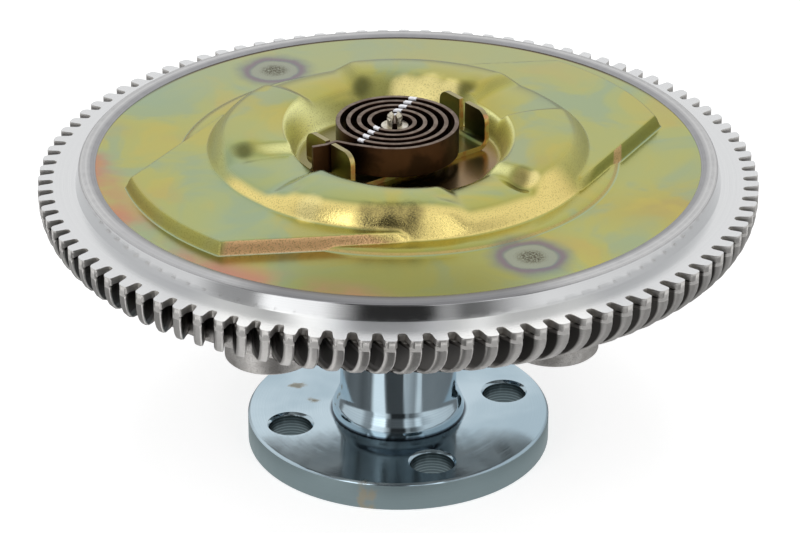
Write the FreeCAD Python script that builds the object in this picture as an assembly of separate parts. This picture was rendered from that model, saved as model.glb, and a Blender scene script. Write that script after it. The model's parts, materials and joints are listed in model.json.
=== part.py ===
"""Viscous fan clutch: flanged drive shaft, finned body, pressed cover and bimetal valve.

Millimetres. The origin is the centre of the flange's bottom face, +Z runs up the
shaft to the bimetal coil. Every size is written once here and the rest follows.
"""
import FreeCAD
import Part

import math
import os

V = FreeCAD.Vector
ORIGIN = V(0, 0, 0)
UP = V(0, 0, 1)

# Fits: what is left between pieces that meet.
RUNNING_GAP = 0.05
LOOSE_GAP = 0.3

# Flange and its bolt circle.
FLANGE_R = 52.5
FLANGE_H = 10.0
FLANGE_CHAMFER = 0.8
BOLT_CIRCLE_R = 39.0
BOLT_HOLE_R = 7.25
BOLT_HOLE_CHAMFER = 0.9
BOLT_COUNT = 4
BOLT_AZIMUTH = 17.2
PILOT_R = 15.0
PILOT_DEPTH = 5.0

# Shaft and the swelling at its foot.
SHAFT_R = 20.25
FOOT_R = 23.0
FOOT_BEAD_H = 2.4
FOOT_FLARE_H = 6.6
COLLAR_R = 23.5
COLLAR_H = 5.0
ROTOR_SEAT_R = 17.0
SHAFT_END_H = 1.6
SHAFT_END_CHAMFER = 1.0

# Cover plane: the flat of the pressed plate, from which the body hangs down.
PLATE_Z = 106.4
SHEET = 2.0
COVER_R = 105.5
COVER_UNDER_Z = PLATE_Z - SHEET

# Bearing, 40 x 80 x 23, with rollers between a plain inner and a flanged outer ring.
BEARING_BORE_R = 20.0
BEARING_OUTER_R = 40.0
BEARING_W = 23.0
BEARING_BOTTOM_Z = 61.0
BEARING_TOP_Z = BEARING_BOTTOM_Z + BEARING_W
ROLLER_COUNT = 8
ROLLER_R = 5.0
ROLLER_CIRCLE_R = 30.0
BEARING_FLANGE_T = 3.5

# Snap ring below the bearing.
CIRCLIP_T = 2.3
CIRCLIP_W = 5.6
CIRCLIP_LUG_R = 3.0
CIRCLIP_GAP_HALF_ANGLE = 12.0
CIRCLIP_LUG_ANGLE = CIRCLIP_GAP_HALF_ANGLE + 2.0
HUB_GROOVE_DEPTH = 2.6
HUB_GROOVE_H = 2.4

# Rotor with its rings of lands.
ROTOR_R = 98.0
ROTOR_DISC_T = 5.0
ROTOR_HUB_R = 24.0
ROTOR_SEAT_H = 13.0
ROTOR_TOP_Z = BEARING_TOP_Z + ROTOR_SEAT_H
ROTOR_UNDER_Z = ROTOR_TOP_Z - ROTOR_DISC_T
LAND_COUNT = 2
LAND_FIRST_R = 74.0
LAND_PITCH = 12.0
LAND_T = 5.0
LAND_H = 4.0
PASSAGE_COUNT = 3
PASSAGE_R = 4.0
PASSAGE_CIRCLE_R = 44.0

# Cast body.
CAVITY_R = 99.5
SHEAR_GAP = 1.0
FLOOR_Z = ROTOR_UNDER_Z - LAND_H - SHEAR_GAP
WALL_R = 106.0
RIM_R = 108.0
RIM_FLANGE_Z = 101.6
RIM_FLANGE_T = 2.6
BODY_R = 121.0
TOOTH_FOOT_R = 118.0
TOOTH_FOOT_Z = 89.4
TOOTH_STRAIGHT_Z = 96.5
FIN_COUNT = 96
FIN_PITCH = 360.0 / FIN_COUNT
FIN_AZIMUTH = -89.4
SLOT_END_R = 116.6
SLOT_END_W = 3.0
SLOT_MOUTH_W = 4.5
FIN_GAP_AT_WALL = 3.4
FIN_SWEEP = 33.0
FIN_ROOT_Z = 84.5
WEB_T = 4.0
WEB_DRAFT_H = 14.0
OVERLAP = 1.5
HUB_WALL = 7.5
HUB_BOTTOM_Z = 56.0
HUB_SHOULDER_R = 35.0
LIP_INNER_R = 101.5
LIP_T = 0.6
LIP_RISE = 0.3
LIP_CHAMFER = 1.0
BOSS_COUNT = 6
BOSS_AZIMUTH = 3.2
BOSS_CIRCLE_R = 90.5
BOSS_R = 14.5
BOSS_DROP = 7.6
BOSS_THREAD_R = 3.4
BOSS_THREAD_DEPTH = 9.5

# Seal in the corner between the body and the cover.
SEAL_W = 2.4
SEAL_H = 1.9

# Pressed relief of the cover: heights above the plate plane.
TERRACE_H = 1.5
TERRACE_R = 74.3
LEAF_H = 4.5
LEAF_TANGENT_R = 67.0
LEAF_ARC_R = 93.2
LEAF_DRAFT = 1.9
LEAF_CORNER_AZ = (-127.6, -165.1)
LEAF_EDGE = 0.7
RING_H = 11.7
RING_FOOT_R = 66.8
RING_TOP_R = 59.4
RING_EDGE = 1.5
BOWL_FOOT_R = 34.5
BOWL_LONG_R = 44.5
BOWL_SHORT_R = 37.5
BOWL_AZIMUTH = 105.0
DENT_H = 8.6
DENT_COUNT = 4
DENT_AZIMUTH = -56.0
DENT_FLOOR_ANGLE = 11.0
DENT_TOP_ANGLE = 23.0
RING_SECTIONS = 32
RING_CORE_R = 52.0
WALL_INSET = 1.0

# Partition plate with its two weld studs and the wiper.
PARTITION_R = 97.0
PARTITION_T = 1.5
STUD_R = 6.0
STUD_CIRCLE_R = 84.7
STUD_AZIMUTHS = (121.0, -60.0)
STUD_H = 1.9
PORT_R = 3.5
PORT_CIRCLE_R = 38.0
PORT_AZIMUTHS = (37.0, 217.0)
WIPER_L = 16.0
WIPER_W = 4.0
WIPER_H = 3.2
WIPER_AZIMUTH = 80.0
WIPER_INSET = 0.5
WIPER_CORNER_R = 1.5
RETURN_PORT_R = 1.8
RETURN_PORT_INSET = 5.5
RETURN_PORT_ANGLE = 7.0

# Valve: its shaft stands a little off the clutch's axis.
VALVE_X = -1.2
VALVE_Y = 0.5
PIN_R = 3.0
PIN_BOTTOM_GAP = 0.2
PIN_RISE = 16.2
PIN_TOP_Z = PLATE_Z + PIN_RISE
PIN_COLLAR_RISE = 11.9
COLLAR_TOP_Z = PLATE_Z + PIN_COLLAR_RISE
PIN_COLLAR_R = 4.55
PIN_COLLAR_T = 1.4
PIN_HEAD_R = 2.5
PIN_HEAD_CHAMFER = 0.8
PIN_SLOT_W = 1.7
PIN_SLOT_DEPTH = 13.4
BUSH_R = 6.0
BUSH_FLANGE_R = 8.5
BUSH_FLANGE_T = 1.2
PIN_SEAL_W = 1.8
PIN_SEAL_H = 1.2
LEVER_T = 0.8
LEVER_HALF_W = 4.0
LEVER_PAD_R = 6.5
LEVER_EYE_W = 3.5

# Bimetal coil.
STRIP_T = 1.5
STRIP_H = 10.4
COIL_RISE = 13.4
COIL_TOP_Z = PLATE_Z + COIL_RISE
COIL_PITCH = 3.45
COIL_FIRST_R = 5.6
COIL_FIRST_AZ = 90.0
COIL_TURNS = 4.542
COIL_STEP = 15.0
COIL_STEM_TIP = -2.2
COIL_TAIL = ((-22.8, 5.35), (-25.6, 0.0), (-30.0, 0.0), (-34.6, -1.1))

# Bracket under the coil: a strap with two pairs of upright ears.
STRAP_AZIMUTH = 37.0
STRAP_HALF_W = 12.5
STRAP_T = 1.8
EAR_FACE = 28.9
EAR_RISE = 13.6
EAR_TOP_Z = PLATE_Z + EAR_RISE
EAR_CORNER_R = 4.0
EAR_SLOT_W = 3.0
EAR_SLOT_FOOT = 1.2
BEND_R = 2.6
STRAP_HOLE_R = 9.0
RIVET_R = 2.4
RIVET_HEAD_R = 3.6
RIVET_HEAD_H = 1.2
RIVET_OFFSET = 15.5


def polar(radius, azimuth, z=0.0):
    """Point at a radius and an azimuth in degrees."""
    angle = math.radians(azimuth)
    return V(radius * math.cos(angle), radius * math.sin(angle), z)


def disc(radius, z_low, z_high, centre=ORIGIN):
    """Solid cylinder about a vertical line through centre."""
    return Part.makeCylinder(radius, z_high - z_low, V(centre.x, centre.y, z_low))


def washer(inner, outer, z_low, z_high, centre=ORIGIN):
    """Ring of rectangular section."""
    return disc(outer, z_low, z_high, centre).cut(disc(inner, z_low, z_high, centre))


def path_face(path):
    """Closed face in the radius-height plane.

    A step of two numbers is a corner, one of four is an arc: middle, then end.
    """
    edges = []
    here = V(path[0][0], 0, path[0][1])
    first = here
    for step in path[1:]:
        end = V(step[-2], 0, step[-1])
        if len(step) == 4:
            edges.append(Part.Arc(here, V(step[0], 0, step[1]), end).toShape())
        elif (end - here).Length > 1e-6:
            edges.append(Part.makeLine(here, end))
        here = end
    if (first - here).Length > 1e-6:
        edges.append(Part.makeLine(here, first))
    return Part.Face(Part.Wire(edges))


def turned(path):
    """Solid of revolution of a radius-height path."""
    return path_face(path).revolve(ORIGIN, UP, 360)


def rotated(shape, angle, centre=ORIGIN):
    """Copy of a shape turned about a vertical line."""
    copy = shape.copy()
    copy.rotate(centre, UP, angle)
    return copy


def around(shape, count):
    """Evenly spaced copies of a shape about the main axis."""
    return [rotated(shape, 360.0 * i / count) for i in range(count)]


def prism(points, z_low, z_high):
    """Upright prism over a plan outline of points or of (middle, end) arcs."""
    edges = []
    here = points[0]
    for step in points[1:] + [points[0]]:
        if isinstance(step, tuple):
            edges.append(Part.Arc(here, step[0], step[1]).toShape())
            here = step[1]
        else:
            edges.append(Part.makeLine(here, step))
            here = step
    face = Part.Face(Part.Wire(edges))
    face.translate(V(0, 0, z_low))
    return face.extrude(V(0, 0, z_high - z_low))


def land_steps(radii, base_z, tip_z):
    """Path steps of square lands standing on a turned face."""
    half = LAND_T / 2.0
    steps = []
    for radius in radii:
        steps += [(radius - half, base_z), (radius - half, tip_z)]
        steps += [(radius + half, tip_z), (radius + half, base_z)]
    return steps


def drive_shaft():
    """Flange, foot, shaft, collar and seats, turned in one piece."""
    foot_z = FLANGE_H + FOOT_BEAD_H
    top_z = ROTOR_TOP_Z + SHAFT_END_H
    shaft = turned([
        (0, PILOT_DEPTH),
        (PILOT_R, PILOT_DEPTH),
        (PILOT_R, 0),
        (FLANGE_R, 0),
        (FLANGE_R, FLANGE_H - FLANGE_CHAMFER),
        (FLANGE_R - FLANGE_CHAMFER, FLANGE_H),
        (FOOT_R, FLANGE_H),
        (FOOT_R, foot_z),
        (SHAFT_R, foot_z + FOOT_FLARE_H),
        (SHAFT_R, BEARING_BOTTOM_Z - COLLAR_H),
        (COLLAR_R, BEARING_BOTTOM_Z - COLLAR_H),
        (COLLAR_R, BEARING_BOTTOM_Z),
        (BEARING_BORE_R, BEARING_BOTTOM_Z),
        (BEARING_BORE_R, BEARING_TOP_Z),
        (ROTOR_SEAT_R, BEARING_TOP_Z),
        (ROTOR_SEAT_R, top_z - SHAFT_END_CHAMFER),
        (ROTOR_SEAT_R - SHAFT_END_CHAMFER, top_z),
        (0, top_z),
    ])
    wide = BOLT_HOLE_R + BOLT_HOLE_CHAMFER
    hole = turned([
        (0, 0),
        (BOLT_HOLE_R, 0),
        (BOLT_HOLE_R, FLANGE_H - BOLT_HOLE_CHAMFER),
        (wide, FLANGE_H),
        (0, FLANGE_H),
    ])
    hole.translate(V(BOLT_CIRCLE_R, 0, 0))
    return shaft.cut(around(rotated(hole, BOLT_AZIMUTH), BOLT_COUNT))


def bearing_inner_ring():
    """Plain inner ring on the shaft."""
    inner = BEARING_BORE_R + RUNNING_GAP
    return washer(inner, ROLLER_CIRCLE_R - ROLLER_R - RUNNING_GAP, BEARING_BOTTOM_Z, BEARING_TOP_Z)


def bearing_outer_ring():
    """Outer ring in the body's hub, with a flange at each end of the roller track."""
    outer = BEARING_OUTER_R - RUNNING_GAP
    track = ROLLER_CIRCLE_R + ROLLER_R + RUNNING_GAP
    flange = ROLLER_CIRCLE_R - ROLLER_R + 2 * LOOSE_GAP
    low, high = BEARING_BOTTOM_Z, BEARING_TOP_Z
    return turned([
        (flange, low),
        (outer, low),
        (outer, high),
        (flange, high),
        (flange, high - BEARING_FLANGE_T),
        (track, high - BEARING_FLANGE_T),
        (track, low + BEARING_FLANGE_T),
        (flange, low + BEARING_FLANGE_T),
    ])


def bearing_rollers():
    """Ring of rollers, free to roll between the two rings."""
    low = BEARING_BOTTOM_Z + BEARING_FLANGE_T + LOOSE_GAP
    high = BEARING_TOP_Z - BEARING_FLANGE_T - LOOSE_GAP
    roller = disc(ROLLER_R, low, high, V(ROLLER_CIRCLE_R, 0, 0))
    return Part.makeCompound(around(roller, ROLLER_COUNT))


def bearing_retaining_ring():
    """Internal snap ring below the bearing, with a gap and two lugs for the pliers."""
    outer = BEARING_OUTER_R + HUB_GROOVE_DEPTH - LOOSE_GAP
    inner = outer - CIRCLIP_W
    low, high = BEARING_BOTTOM_Z - CIRCLIP_T, BEARING_BOTTOM_Z
    ring = washer(inner, outer, low, high)
    reach = 2 * outer
    mouth = [polar(reach, side * CIRCLIP_GAP_HALF_ANGLE) for side in (-1, 1)]
    ring = ring.cut(prism([ORIGIN] + mouth, low, high))
    for side in (-1, 1):
        centre = polar(inner + CIRCLIP_LUG_R / 2.0, side * CIRCLIP_LUG_ANGLE)
        ring = ring.fuse(disc(CIRCLIP_LUG_R, low, high, centre))
    return ring.removeSplitter()


def rotor():
    """Clutch disc: hub, web and rings of lands that mesh with the body's."""
    bore = ROTOR_SEAT_R + RUNNING_GAP
    radii = [LAND_FIRST_R + LAND_PITCH * i for i in range(LAND_COUNT)]
    path = [(bore, BEARING_TOP_Z), (ROTOR_HUB_R, BEARING_TOP_Z), (ROTOR_HUB_R, ROTOR_UNDER_Z)]
    path += land_steps(radii, ROTOR_UNDER_Z, ROTOR_UNDER_Z - LAND_H)
    path += [(ROTOR_R, ROTOR_UNDER_Z), (ROTOR_R, ROTOR_TOP_Z), (bore, ROTOR_TOP_Z)]
    hole = disc(PASSAGE_R, ROTOR_UNDER_Z, ROTOR_TOP_Z, V(PASSAGE_CIRCLE_R, 0, 0))
    return turned(path).cut(around(hole, PASSAGE_COUNT))


def seal_outer_radius():
    """Radius of the corner step that the cover's seal lies in."""
    return CAVITY_R + SEAL_W + 2 * RUNNING_GAP


def body_blank():
    """Turned part of the body, up to the wall that the fins stand on."""
    radii = [LAND_FIRST_R + LAND_PITCH * (i + 0.5) for i in range(LAND_COUNT - 1)]
    hub_r = BEARING_OUTER_R + HUB_WALL
    groove_r = BEARING_OUTER_R + HUB_GROOVE_DEPTH
    groove_z = BEARING_BOTTOM_Z - HUB_GROOVE_H
    seat_r = COVER_R + LOOSE_GAP
    seal_z = COVER_UNDER_Z - SEAL_H
    lip_z = PLATE_Z + LIP_T
    web_z = FLOOR_Z - WEB_T
    path = [
        (BEARING_OUTER_R, HUB_BOTTOM_Z),
        (BEARING_OUTER_R, groove_z),
        (groove_r, groove_z),
        (groove_r, BEARING_BOTTOM_Z),
        (BEARING_OUTER_R, BEARING_BOTTOM_Z),
        (BEARING_OUTER_R, BEARING_TOP_Z),
        (HUB_SHOULDER_R, BEARING_TOP_Z),
        (HUB_SHOULDER_R, FLOOR_Z),
    ]
    path += land_steps(radii, FLOOR_Z, FLOOR_Z + LAND_H)
    path += [
        (CAVITY_R, FLOOR_Z),
        (CAVITY_R, seal_z),
        (seal_outer_radius(), seal_z),
        (seal_outer_radius(), COVER_UNDER_Z),
        (seat_r, COVER_UNDER_Z),
        (seat_r, PLATE_Z),
        (LIP_INNER_R, PLATE_Z),
        (LIP_INNER_R, lip_z),
        (RIM_R - LIP_CHAMFER, lip_z + LIP_RISE),
        (RIM_R, lip_z + LIP_RISE - LIP_CHAMFER),
        (RIM_R, RIM_FLANGE_Z - OVERLAP),
        (WALL_R - OVERLAP, RIM_FLANGE_Z - OVERLAP),
        (WALL_R - OVERLAP, web_z),
        (hub_r + WEB_T, web_z),
        (hub_r, web_z - WEB_DRAFT_H),
        (hub_r, HUB_BOTTOM_Z),
    ]
    return turned(path)


def gap_edges(radius):
    """Azimuths of both walls of the swept gap that opens at azimuth 0."""
    share = (BODY_R - radius) / (BODY_R - WALL_R)
    width = SLOT_MOUTH_W + (FIN_GAP_AT_WALL - SLOT_MOUTH_W) * share
    lean = math.tan(math.radians(FIN_SWEEP)) * math.log(BODY_R / radius)
    low = -SLOT_END_W / 2.0 / BODY_R - lean
    return math.degrees(low), math.degrees(low + width / radius)


def fin():
    """Swept fin between the gap at azimuth 0 and the next: flat walls, a face that draws in to its foot."""
    root_r = WALL_R - OVERLAP
    top_z = RIM_FLANGE_Z - RIM_FLANGE_T
    first_out, first_in = gap_edges(BODY_R)[1], gap_edges(root_r)[1]
    next_out, next_in = gap_edges(BODY_R)[0] + FIN_PITCH, gap_edges(root_r)[0] + FIN_PITCH
    outline = [
        polar(root_r, first_in),
        polar(BODY_R, first_out),
        polar(BODY_R, next_out),
        polar(root_r, next_in),
    ]
    plan = prism(outline, FIN_ROOT_Z - OVERLAP, top_z)
    profile = [
        V(WALL_R / 2.0, 0, top_z),
        V(BODY_R, 0, top_z),
        V(BODY_R, 0, TOOTH_STRAIGHT_Z),
        V(TOOTH_FOOT_R, 0, TOOTH_FOOT_Z),
        V(root_r, 0, FIN_ROOT_Z),
        V(WALL_R / 2.0, 0, FIN_ROOT_Z),
    ]
    face = Part.Face(Part.makePolygon(profile + [profile[0]]))
    face.translate(V(0, -WALL_R / 2.0, 0))
    side = face.extrude(V(0, WALL_R, 0))
    return plan.common(rotated(side, (first_out + next_out) / 2.0))


def rim_tooth():
    """Tooth of the rim flange between the notch at azimuth 0 and the next."""
    half = SLOT_END_W / 2.0
    flare = SLOT_MOUTH_W - SLOT_END_W
    root_r = SLOT_END_R - OVERLAP
    turn = FreeCAD.Rotation(UP, FIN_PITCH)
    plan = [
        V(root_r, half, 0),
        V(SLOT_END_R, half, 0),
        V(BODY_R, half + flare, 0),
        turn.multVec(V(BODY_R, -half, 0)),
        turn.multVec(V(root_r, -half, 0)),
    ]
    return prism(plan, RIM_FLANGE_Z - RIM_FLANGE_T, RIM_FLANGE_Z)


def many_sided_ring(flat_r, corner_azimuth, inner_r, z_low, z_high):
    """Ring whose outside has one flat for each fin gap."""
    corner_r = flat_r / math.cos(math.radians(FIN_PITCH / 2.0))
    corners = [polar(corner_r, corner_azimuth + FIN_PITCH * i) for i in range(FIN_COUNT)]
    return prism(corners, z_low, z_high).cut(disc(inner_r, z_low, z_high))


def finned_ring():
    """Wall, rim flange, fins and teeth of the body, before the turned part joins them."""
    under_z = RIM_FLANGE_Z - RIM_FLANGE_T
    inner_r = WALL_R - 2 * OVERLAP
    fin_middle = (sum(gap_edges(WALL_R)) + FIN_PITCH) / 2.0
    wall = many_sided_ring(WALL_R, fin_middle, inner_r, FLOOR_Z - WEB_T, under_z)
    flange = many_sided_ring(SLOT_END_R, FIN_PITCH / 2.0, inner_r, under_z, RIM_FLANGE_Z)
    fins = around(fin(), FIN_COUNT)
    teeth = around(rim_tooth(), FIN_COUNT)
    return rotated(wall.fuse([flange] + fins + teeth), FIN_AZIMUTH)


def fan_boss():
    """Round pad that hangs from the web, for one of the fan's screws."""
    web_z = FLOOR_Z - WEB_T
    pad = disc(BOSS_R, web_z - BOSS_DROP, web_z + OVERLAP, V(BOSS_CIRCLE_R, 0, 0))
    return rotated(pad, BOSS_AZIMUTH)


def fan_thread():
    """Blind threaded hole of one pad, without its thread."""
    low = FLOOR_Z - WEB_T - BOSS_DROP
    return disc(BOSS_THREAD_R, low, low + BOSS_THREAD_DEPTH, polar(BOSS_CIRCLE_R, BOSS_AZIMUTH))


def clutch_body():
    """Cast body: hub, web, lands, crimped lip, swept fins and the six fan bosses."""
    parts = [body_blank()] + around(fan_boss(), BOSS_COUNT)
    body = finned_ring().fuse(parts).removeSplitter()
    return body.cut(around(fan_thread(), BOSS_COUNT))


def leaf_outline(shrink, z):
    """Wire of a leaf: two lines tangent to the ring and an arc about the axis."""
    tangent_r = LEAF_TANGENT_R - shrink
    arc_r = LEAF_ARC_R - shrink
    spread = math.degrees(math.acos(tangent_r / arc_r))
    reach = math.degrees(math.acos(LEAF_TANGENT_R / LEAF_ARC_R))
    first_tangent = LEAF_CORNER_AZ[0] + reach
    last_tangent = LEAF_CORNER_AZ[1] - reach
    first = polar(tangent_r, first_tangent, z)
    corner = polar(arc_r, first_tangent - spread, z)
    tip = polar(arc_r, last_tangent + spread, z)
    last = polar(tangent_r, last_tangent, z)
    middle_az = (LEAF_CORNER_AZ[0] + LEAF_CORNER_AZ[1]) / 2.0
    inner_first = polar(RING_CORE_R, first_tangent, z)
    inner_last = polar(RING_CORE_R, last_tangent, z)
    return Part.Wire([
        Part.makeLine(first, corner),
        Part.Arc(corner, polar(arc_r, middle_az, z), tip).toShape(),
        Part.makeLine(tip, last),
        Part.makeLine(last, inner_last),
        Part.Arc(inner_last, polar(RING_CORE_R, middle_az, z), inner_first).toShape(),
        Part.makeLine(inner_first, first),
    ])


def leaf(base_z, top_z, inset, edge):
    """One drafted leaf of the pressed relief; edge is the slope that breaks its upper rim."""
    slope = LEAF_DRAFT / (top_z - base_z)
    rim_z = top_z - edge
    rim_shrink = inset + slope * (rim_z - base_z)
    solid = Part.makeLoft([leaf_outline(inset, base_z), leaf_outline(rim_shrink, rim_z)], True, True)
    if edge > 0.0:
        rim = [leaf_outline(rim_shrink, rim_z), leaf_outline(rim_shrink + 2 * edge, top_z)]
        solid = solid.fuse(Part.makeLoft(rim, True, True))
    return solid


def lobe_height(azimuth):
    """Height of the ring's crown: four flat lobes with eased dents between them."""
    pitch = 360.0 / DENT_COUNT
    away = abs((azimuth - DENT_AZIMUTH + pitch / 2.0) % pitch - pitch / 2.0)
    share = (away - DENT_FLOOR_ANGLE) / (DENT_TOP_ANGLE - DENT_FLOOR_ANGLE)
    share = min(max(share, 0.0), 1.0)
    eased = share * share * (3.0 - 2.0 * share)
    return DENT_H + (RING_H - DENT_H) * eased


def bowl_mouth_radius(azimuth):
    """Radius of the oval mouth of the bowl."""
    turn = math.radians(azimuth - BOWL_AZIMUTH)
    return 1.0 / math.hypot(math.cos(turn) / BOWL_LONG_R, math.sin(turn) / BOWL_SHORT_R)


def broken_corner(before, corner, after, reach):
    """Two points that replace a corner by a slope."""
    return [corner + (before - corner).normalize() * reach, corner + (after - corner).normalize() * reach]


def ring_section(azimuth, base_z, drop, inset, edge):
    """Section of the ring at one azimuth: foot, outer wall, crown, bowl wall."""
    height = lobe_height(azimuth)
    share = height / RING_H
    plate_z = PLATE_Z - drop
    foot_out = RING_FOOT_R - inset
    foot_in = BOWL_FOOT_R + inset
    top_out = foot_out + (RING_TOP_R - RING_FOOT_R) * share
    top_in = foot_in + (bowl_mouth_radius(azimuth) - BOWL_FOOT_R) * share
    out_base, out_foot = polar(foot_out, azimuth, base_z), polar(foot_out, azimuth, plate_z)
    in_base, in_foot = polar(foot_in, azimuth, base_z), polar(foot_in, azimuth, plate_z)
    out_top = polar(top_out, azimuth, plate_z + height)
    in_top = polar(top_in, azimuth, plate_z + height)
    crown = [out_top, in_top]
    if edge > 0.0:
        crown = broken_corner(out_foot, out_top, in_top, edge) + broken_corner(out_top, in_top, in_foot, edge)
    return Part.makePolygon([in_base, out_base, out_foot] + crown + [in_foot, in_base])


def ring_mound(base_z, drop, inset, edge):
    """Annular ridge with its four lobes, lofted through sections round the axis."""
    sections = []
    for i in range(RING_SECTIONS):
        azimuth = DENT_AZIMUTH + 360.0 * i / RING_SECTIONS
        sections.append(ring_section(azimuth, base_z, drop, inset, edge))
    return Part.makeLoft(sections, True, True, True)


def relief(base_z, drop, inset, leaf_edge, ring_edge):
    """Solid under one face of the pressed sheet, outer face or underside."""
    plate_z = PLATE_Z - drop
    terrace = disc(TERRACE_R - inset, base_z, plate_z + TERRACE_H)
    one = leaf(plate_z, plate_z + LEAF_H, inset, leaf_edge)
    mound = ring_mound(base_z, drop, inset, ring_edge)
    bowl = disc(BOWL_FOOT_R + inset, base_z, plate_z + RING_H)
    return terrace.fuse([one, rotated(one, 180.0)]).cut(bowl).fuse(mound)


def cover_plate():
    """Pressed cover: one sheet whose underside follows its outer face."""
    flat = disc(COVER_R, COVER_UNDER_Z, PLATE_Z)
    outer = flat.fuse(relief(COVER_UNDER_Z, 0.0, 0.0, LEAF_EDGE, RING_EDGE))
    inner = relief(COVER_UNDER_Z - SHEET, SHEET, WALL_INSET, 0.0, 0.0)
    sheet = outer.cut(inner)
    holes = [disc(BUSH_R + RUNNING_GAP, COVER_UNDER_Z, PLATE_Z, valve_axis())]
    holes += [disc(RIVET_R + RUNNING_GAP, COVER_UNDER_Z, PLATE_Z, c) for c in rivet_centres()]
    return sheet.cut(holes)


def valve_axis():
    """Foot of the valve's own axis."""
    return V(VALVE_X, VALVE_Y, 0)


def cover_seal_ring():
    """Square-cut seal in the corner step of the body, under the cover."""
    inner = CAVITY_R + RUNNING_GAP
    return washer(inner, inner + SEAL_W, COVER_UNDER_Z - SEAL_H, COVER_UNDER_Z)


def partition_top_z():
    """Upper face of the partition plate."""
    return COVER_UNDER_Z - STUD_H


def partition_plate():
    """Disc between the working chamber and the store, with its valve ports."""
    top_z = partition_top_z()
    plate = disc(PARTITION_R, top_z - PARTITION_T, top_z)
    low = top_z - PARTITION_T
    ports = [disc(PORT_R, low, top_z, polar(PORT_CIRCLE_R, azimuth)) for azimuth in PORT_AZIMUTHS]
    back = polar(PARTITION_R - RETURN_PORT_INSET, WIPER_AZIMUTH + RETURN_PORT_ANGLE)
    ports.append(disc(RETURN_PORT_R, low, top_z, back))
    return plate.cut(ports)


def partition_stud(azimuth):
    """Stud that one of the cover's weld spots holds."""
    top_z = partition_top_z()
    return disc(STUD_R, top_z, top_z + STUD_H, polar(STUD_CIRCLE_R, azimuth))


def pump_wiper():
    """Block that turns the fluid back towards the return port."""
    high = partition_top_z() - PARTITION_T
    corner = V(PARTITION_R - WIPER_W - WIPER_INSET, -WIPER_L / 2.0, high - WIPER_H)
    block = Part.makeBox(WIPER_W, WIPER_L, WIPER_H, corner)
    upright = [edge for edge in block.Edges if edge.BoundBox.ZLength > WIPER_H / 2.0]
    return rotated(block.makeFillet(WIPER_CORNER_R, upright), WIPER_AZIMUTH)


def valve_lever():
    """Spring arm that closes both ports of the partition plate."""
    low = partition_top_z() + PIN_BOTTOM_GAP
    high = low + LEVER_T
    axis = valve_axis()
    arms = disc(PIN_R + LEVER_EYE_W, low, high, axis)
    for azimuth in PORT_AZIMUTHS:
        reach = polar(PORT_CIRCLE_R, azimuth)
        side = polar(LEVER_HALF_W, azimuth + 90.0)
        arm = prism([axis - side, reach - side, reach + side, axis + side], low, high)
        arms = arms.fuse([arm, disc(LEVER_PAD_R, low, high, reach)])
    arms = arms.removeSplitter()
    return arms.cut(disc(PIN_R + RUNNING_GAP, low, high, axis))


def valve_shaft():
    """Pin through the cover, with its collar and the slotted, staked head."""
    low = partition_top_z() + PIN_BOTTOM_GAP
    collar_low = COLLAR_TOP_Z - PIN_COLLAR_T
    pin = turned([
        (0, low),
        (PIN_R, low),
        (PIN_R, collar_low),
        (PIN_COLLAR_R, collar_low),
        (PIN_COLLAR_R, COLLAR_TOP_Z),
        (PIN_HEAD_R, COLLAR_TOP_Z),
        (PIN_HEAD_R, PIN_TOP_Z - PIN_HEAD_CHAMFER),
        (PIN_HEAD_R - PIN_HEAD_CHAMFER, PIN_TOP_Z),
        (0, PIN_TOP_Z),
    ])
    wide = 2 * PIN_COLLAR_R
    corner = V(-PIN_SLOT_W / 2.0, -wide / 2.0, PIN_TOP_Z - PIN_SLOT_DEPTH)
    pin = pin.cut(Part.makeBox(PIN_SLOT_W, wide, PIN_SLOT_DEPTH, corner))
    pin.translate(valve_axis())
    return pin


def valve_bush():
    """Flanged bush of the valve shaft, pressed into the cover from above."""
    flange_z = PLATE_Z + BUSH_FLANGE_T
    bush = disc(BUSH_R, COVER_UNDER_Z, PLATE_Z).fuse(disc(BUSH_FLANGE_R, PLATE_Z, flange_z))
    bush = bush.cut(disc(PIN_R + RUNNING_GAP, COVER_UNDER_Z, flange_z))
    bush.translate(valve_axis())
    return bush


def valve_shaft_seal():
    """Square-cut seal on the pin, on top of the bush."""
    low = PLATE_Z + BUSH_FLANGE_T
    inner = PIN_R + RUNNING_GAP
    return washer(inner, inner + PIN_SEAL_W, low, low + PIN_SEAL_H, valve_axis())


def strap_frame(along, across, z=0.0):
    """Plan point from its distances along and across the strap."""
    along_dir = polar(1.0, STRAP_AZIMUTH)
    across_dir = polar(1.0, STRAP_AZIMUTH - 90.0)
    return along_dir * along + across_dir * across + V(0, 0, z)


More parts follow.
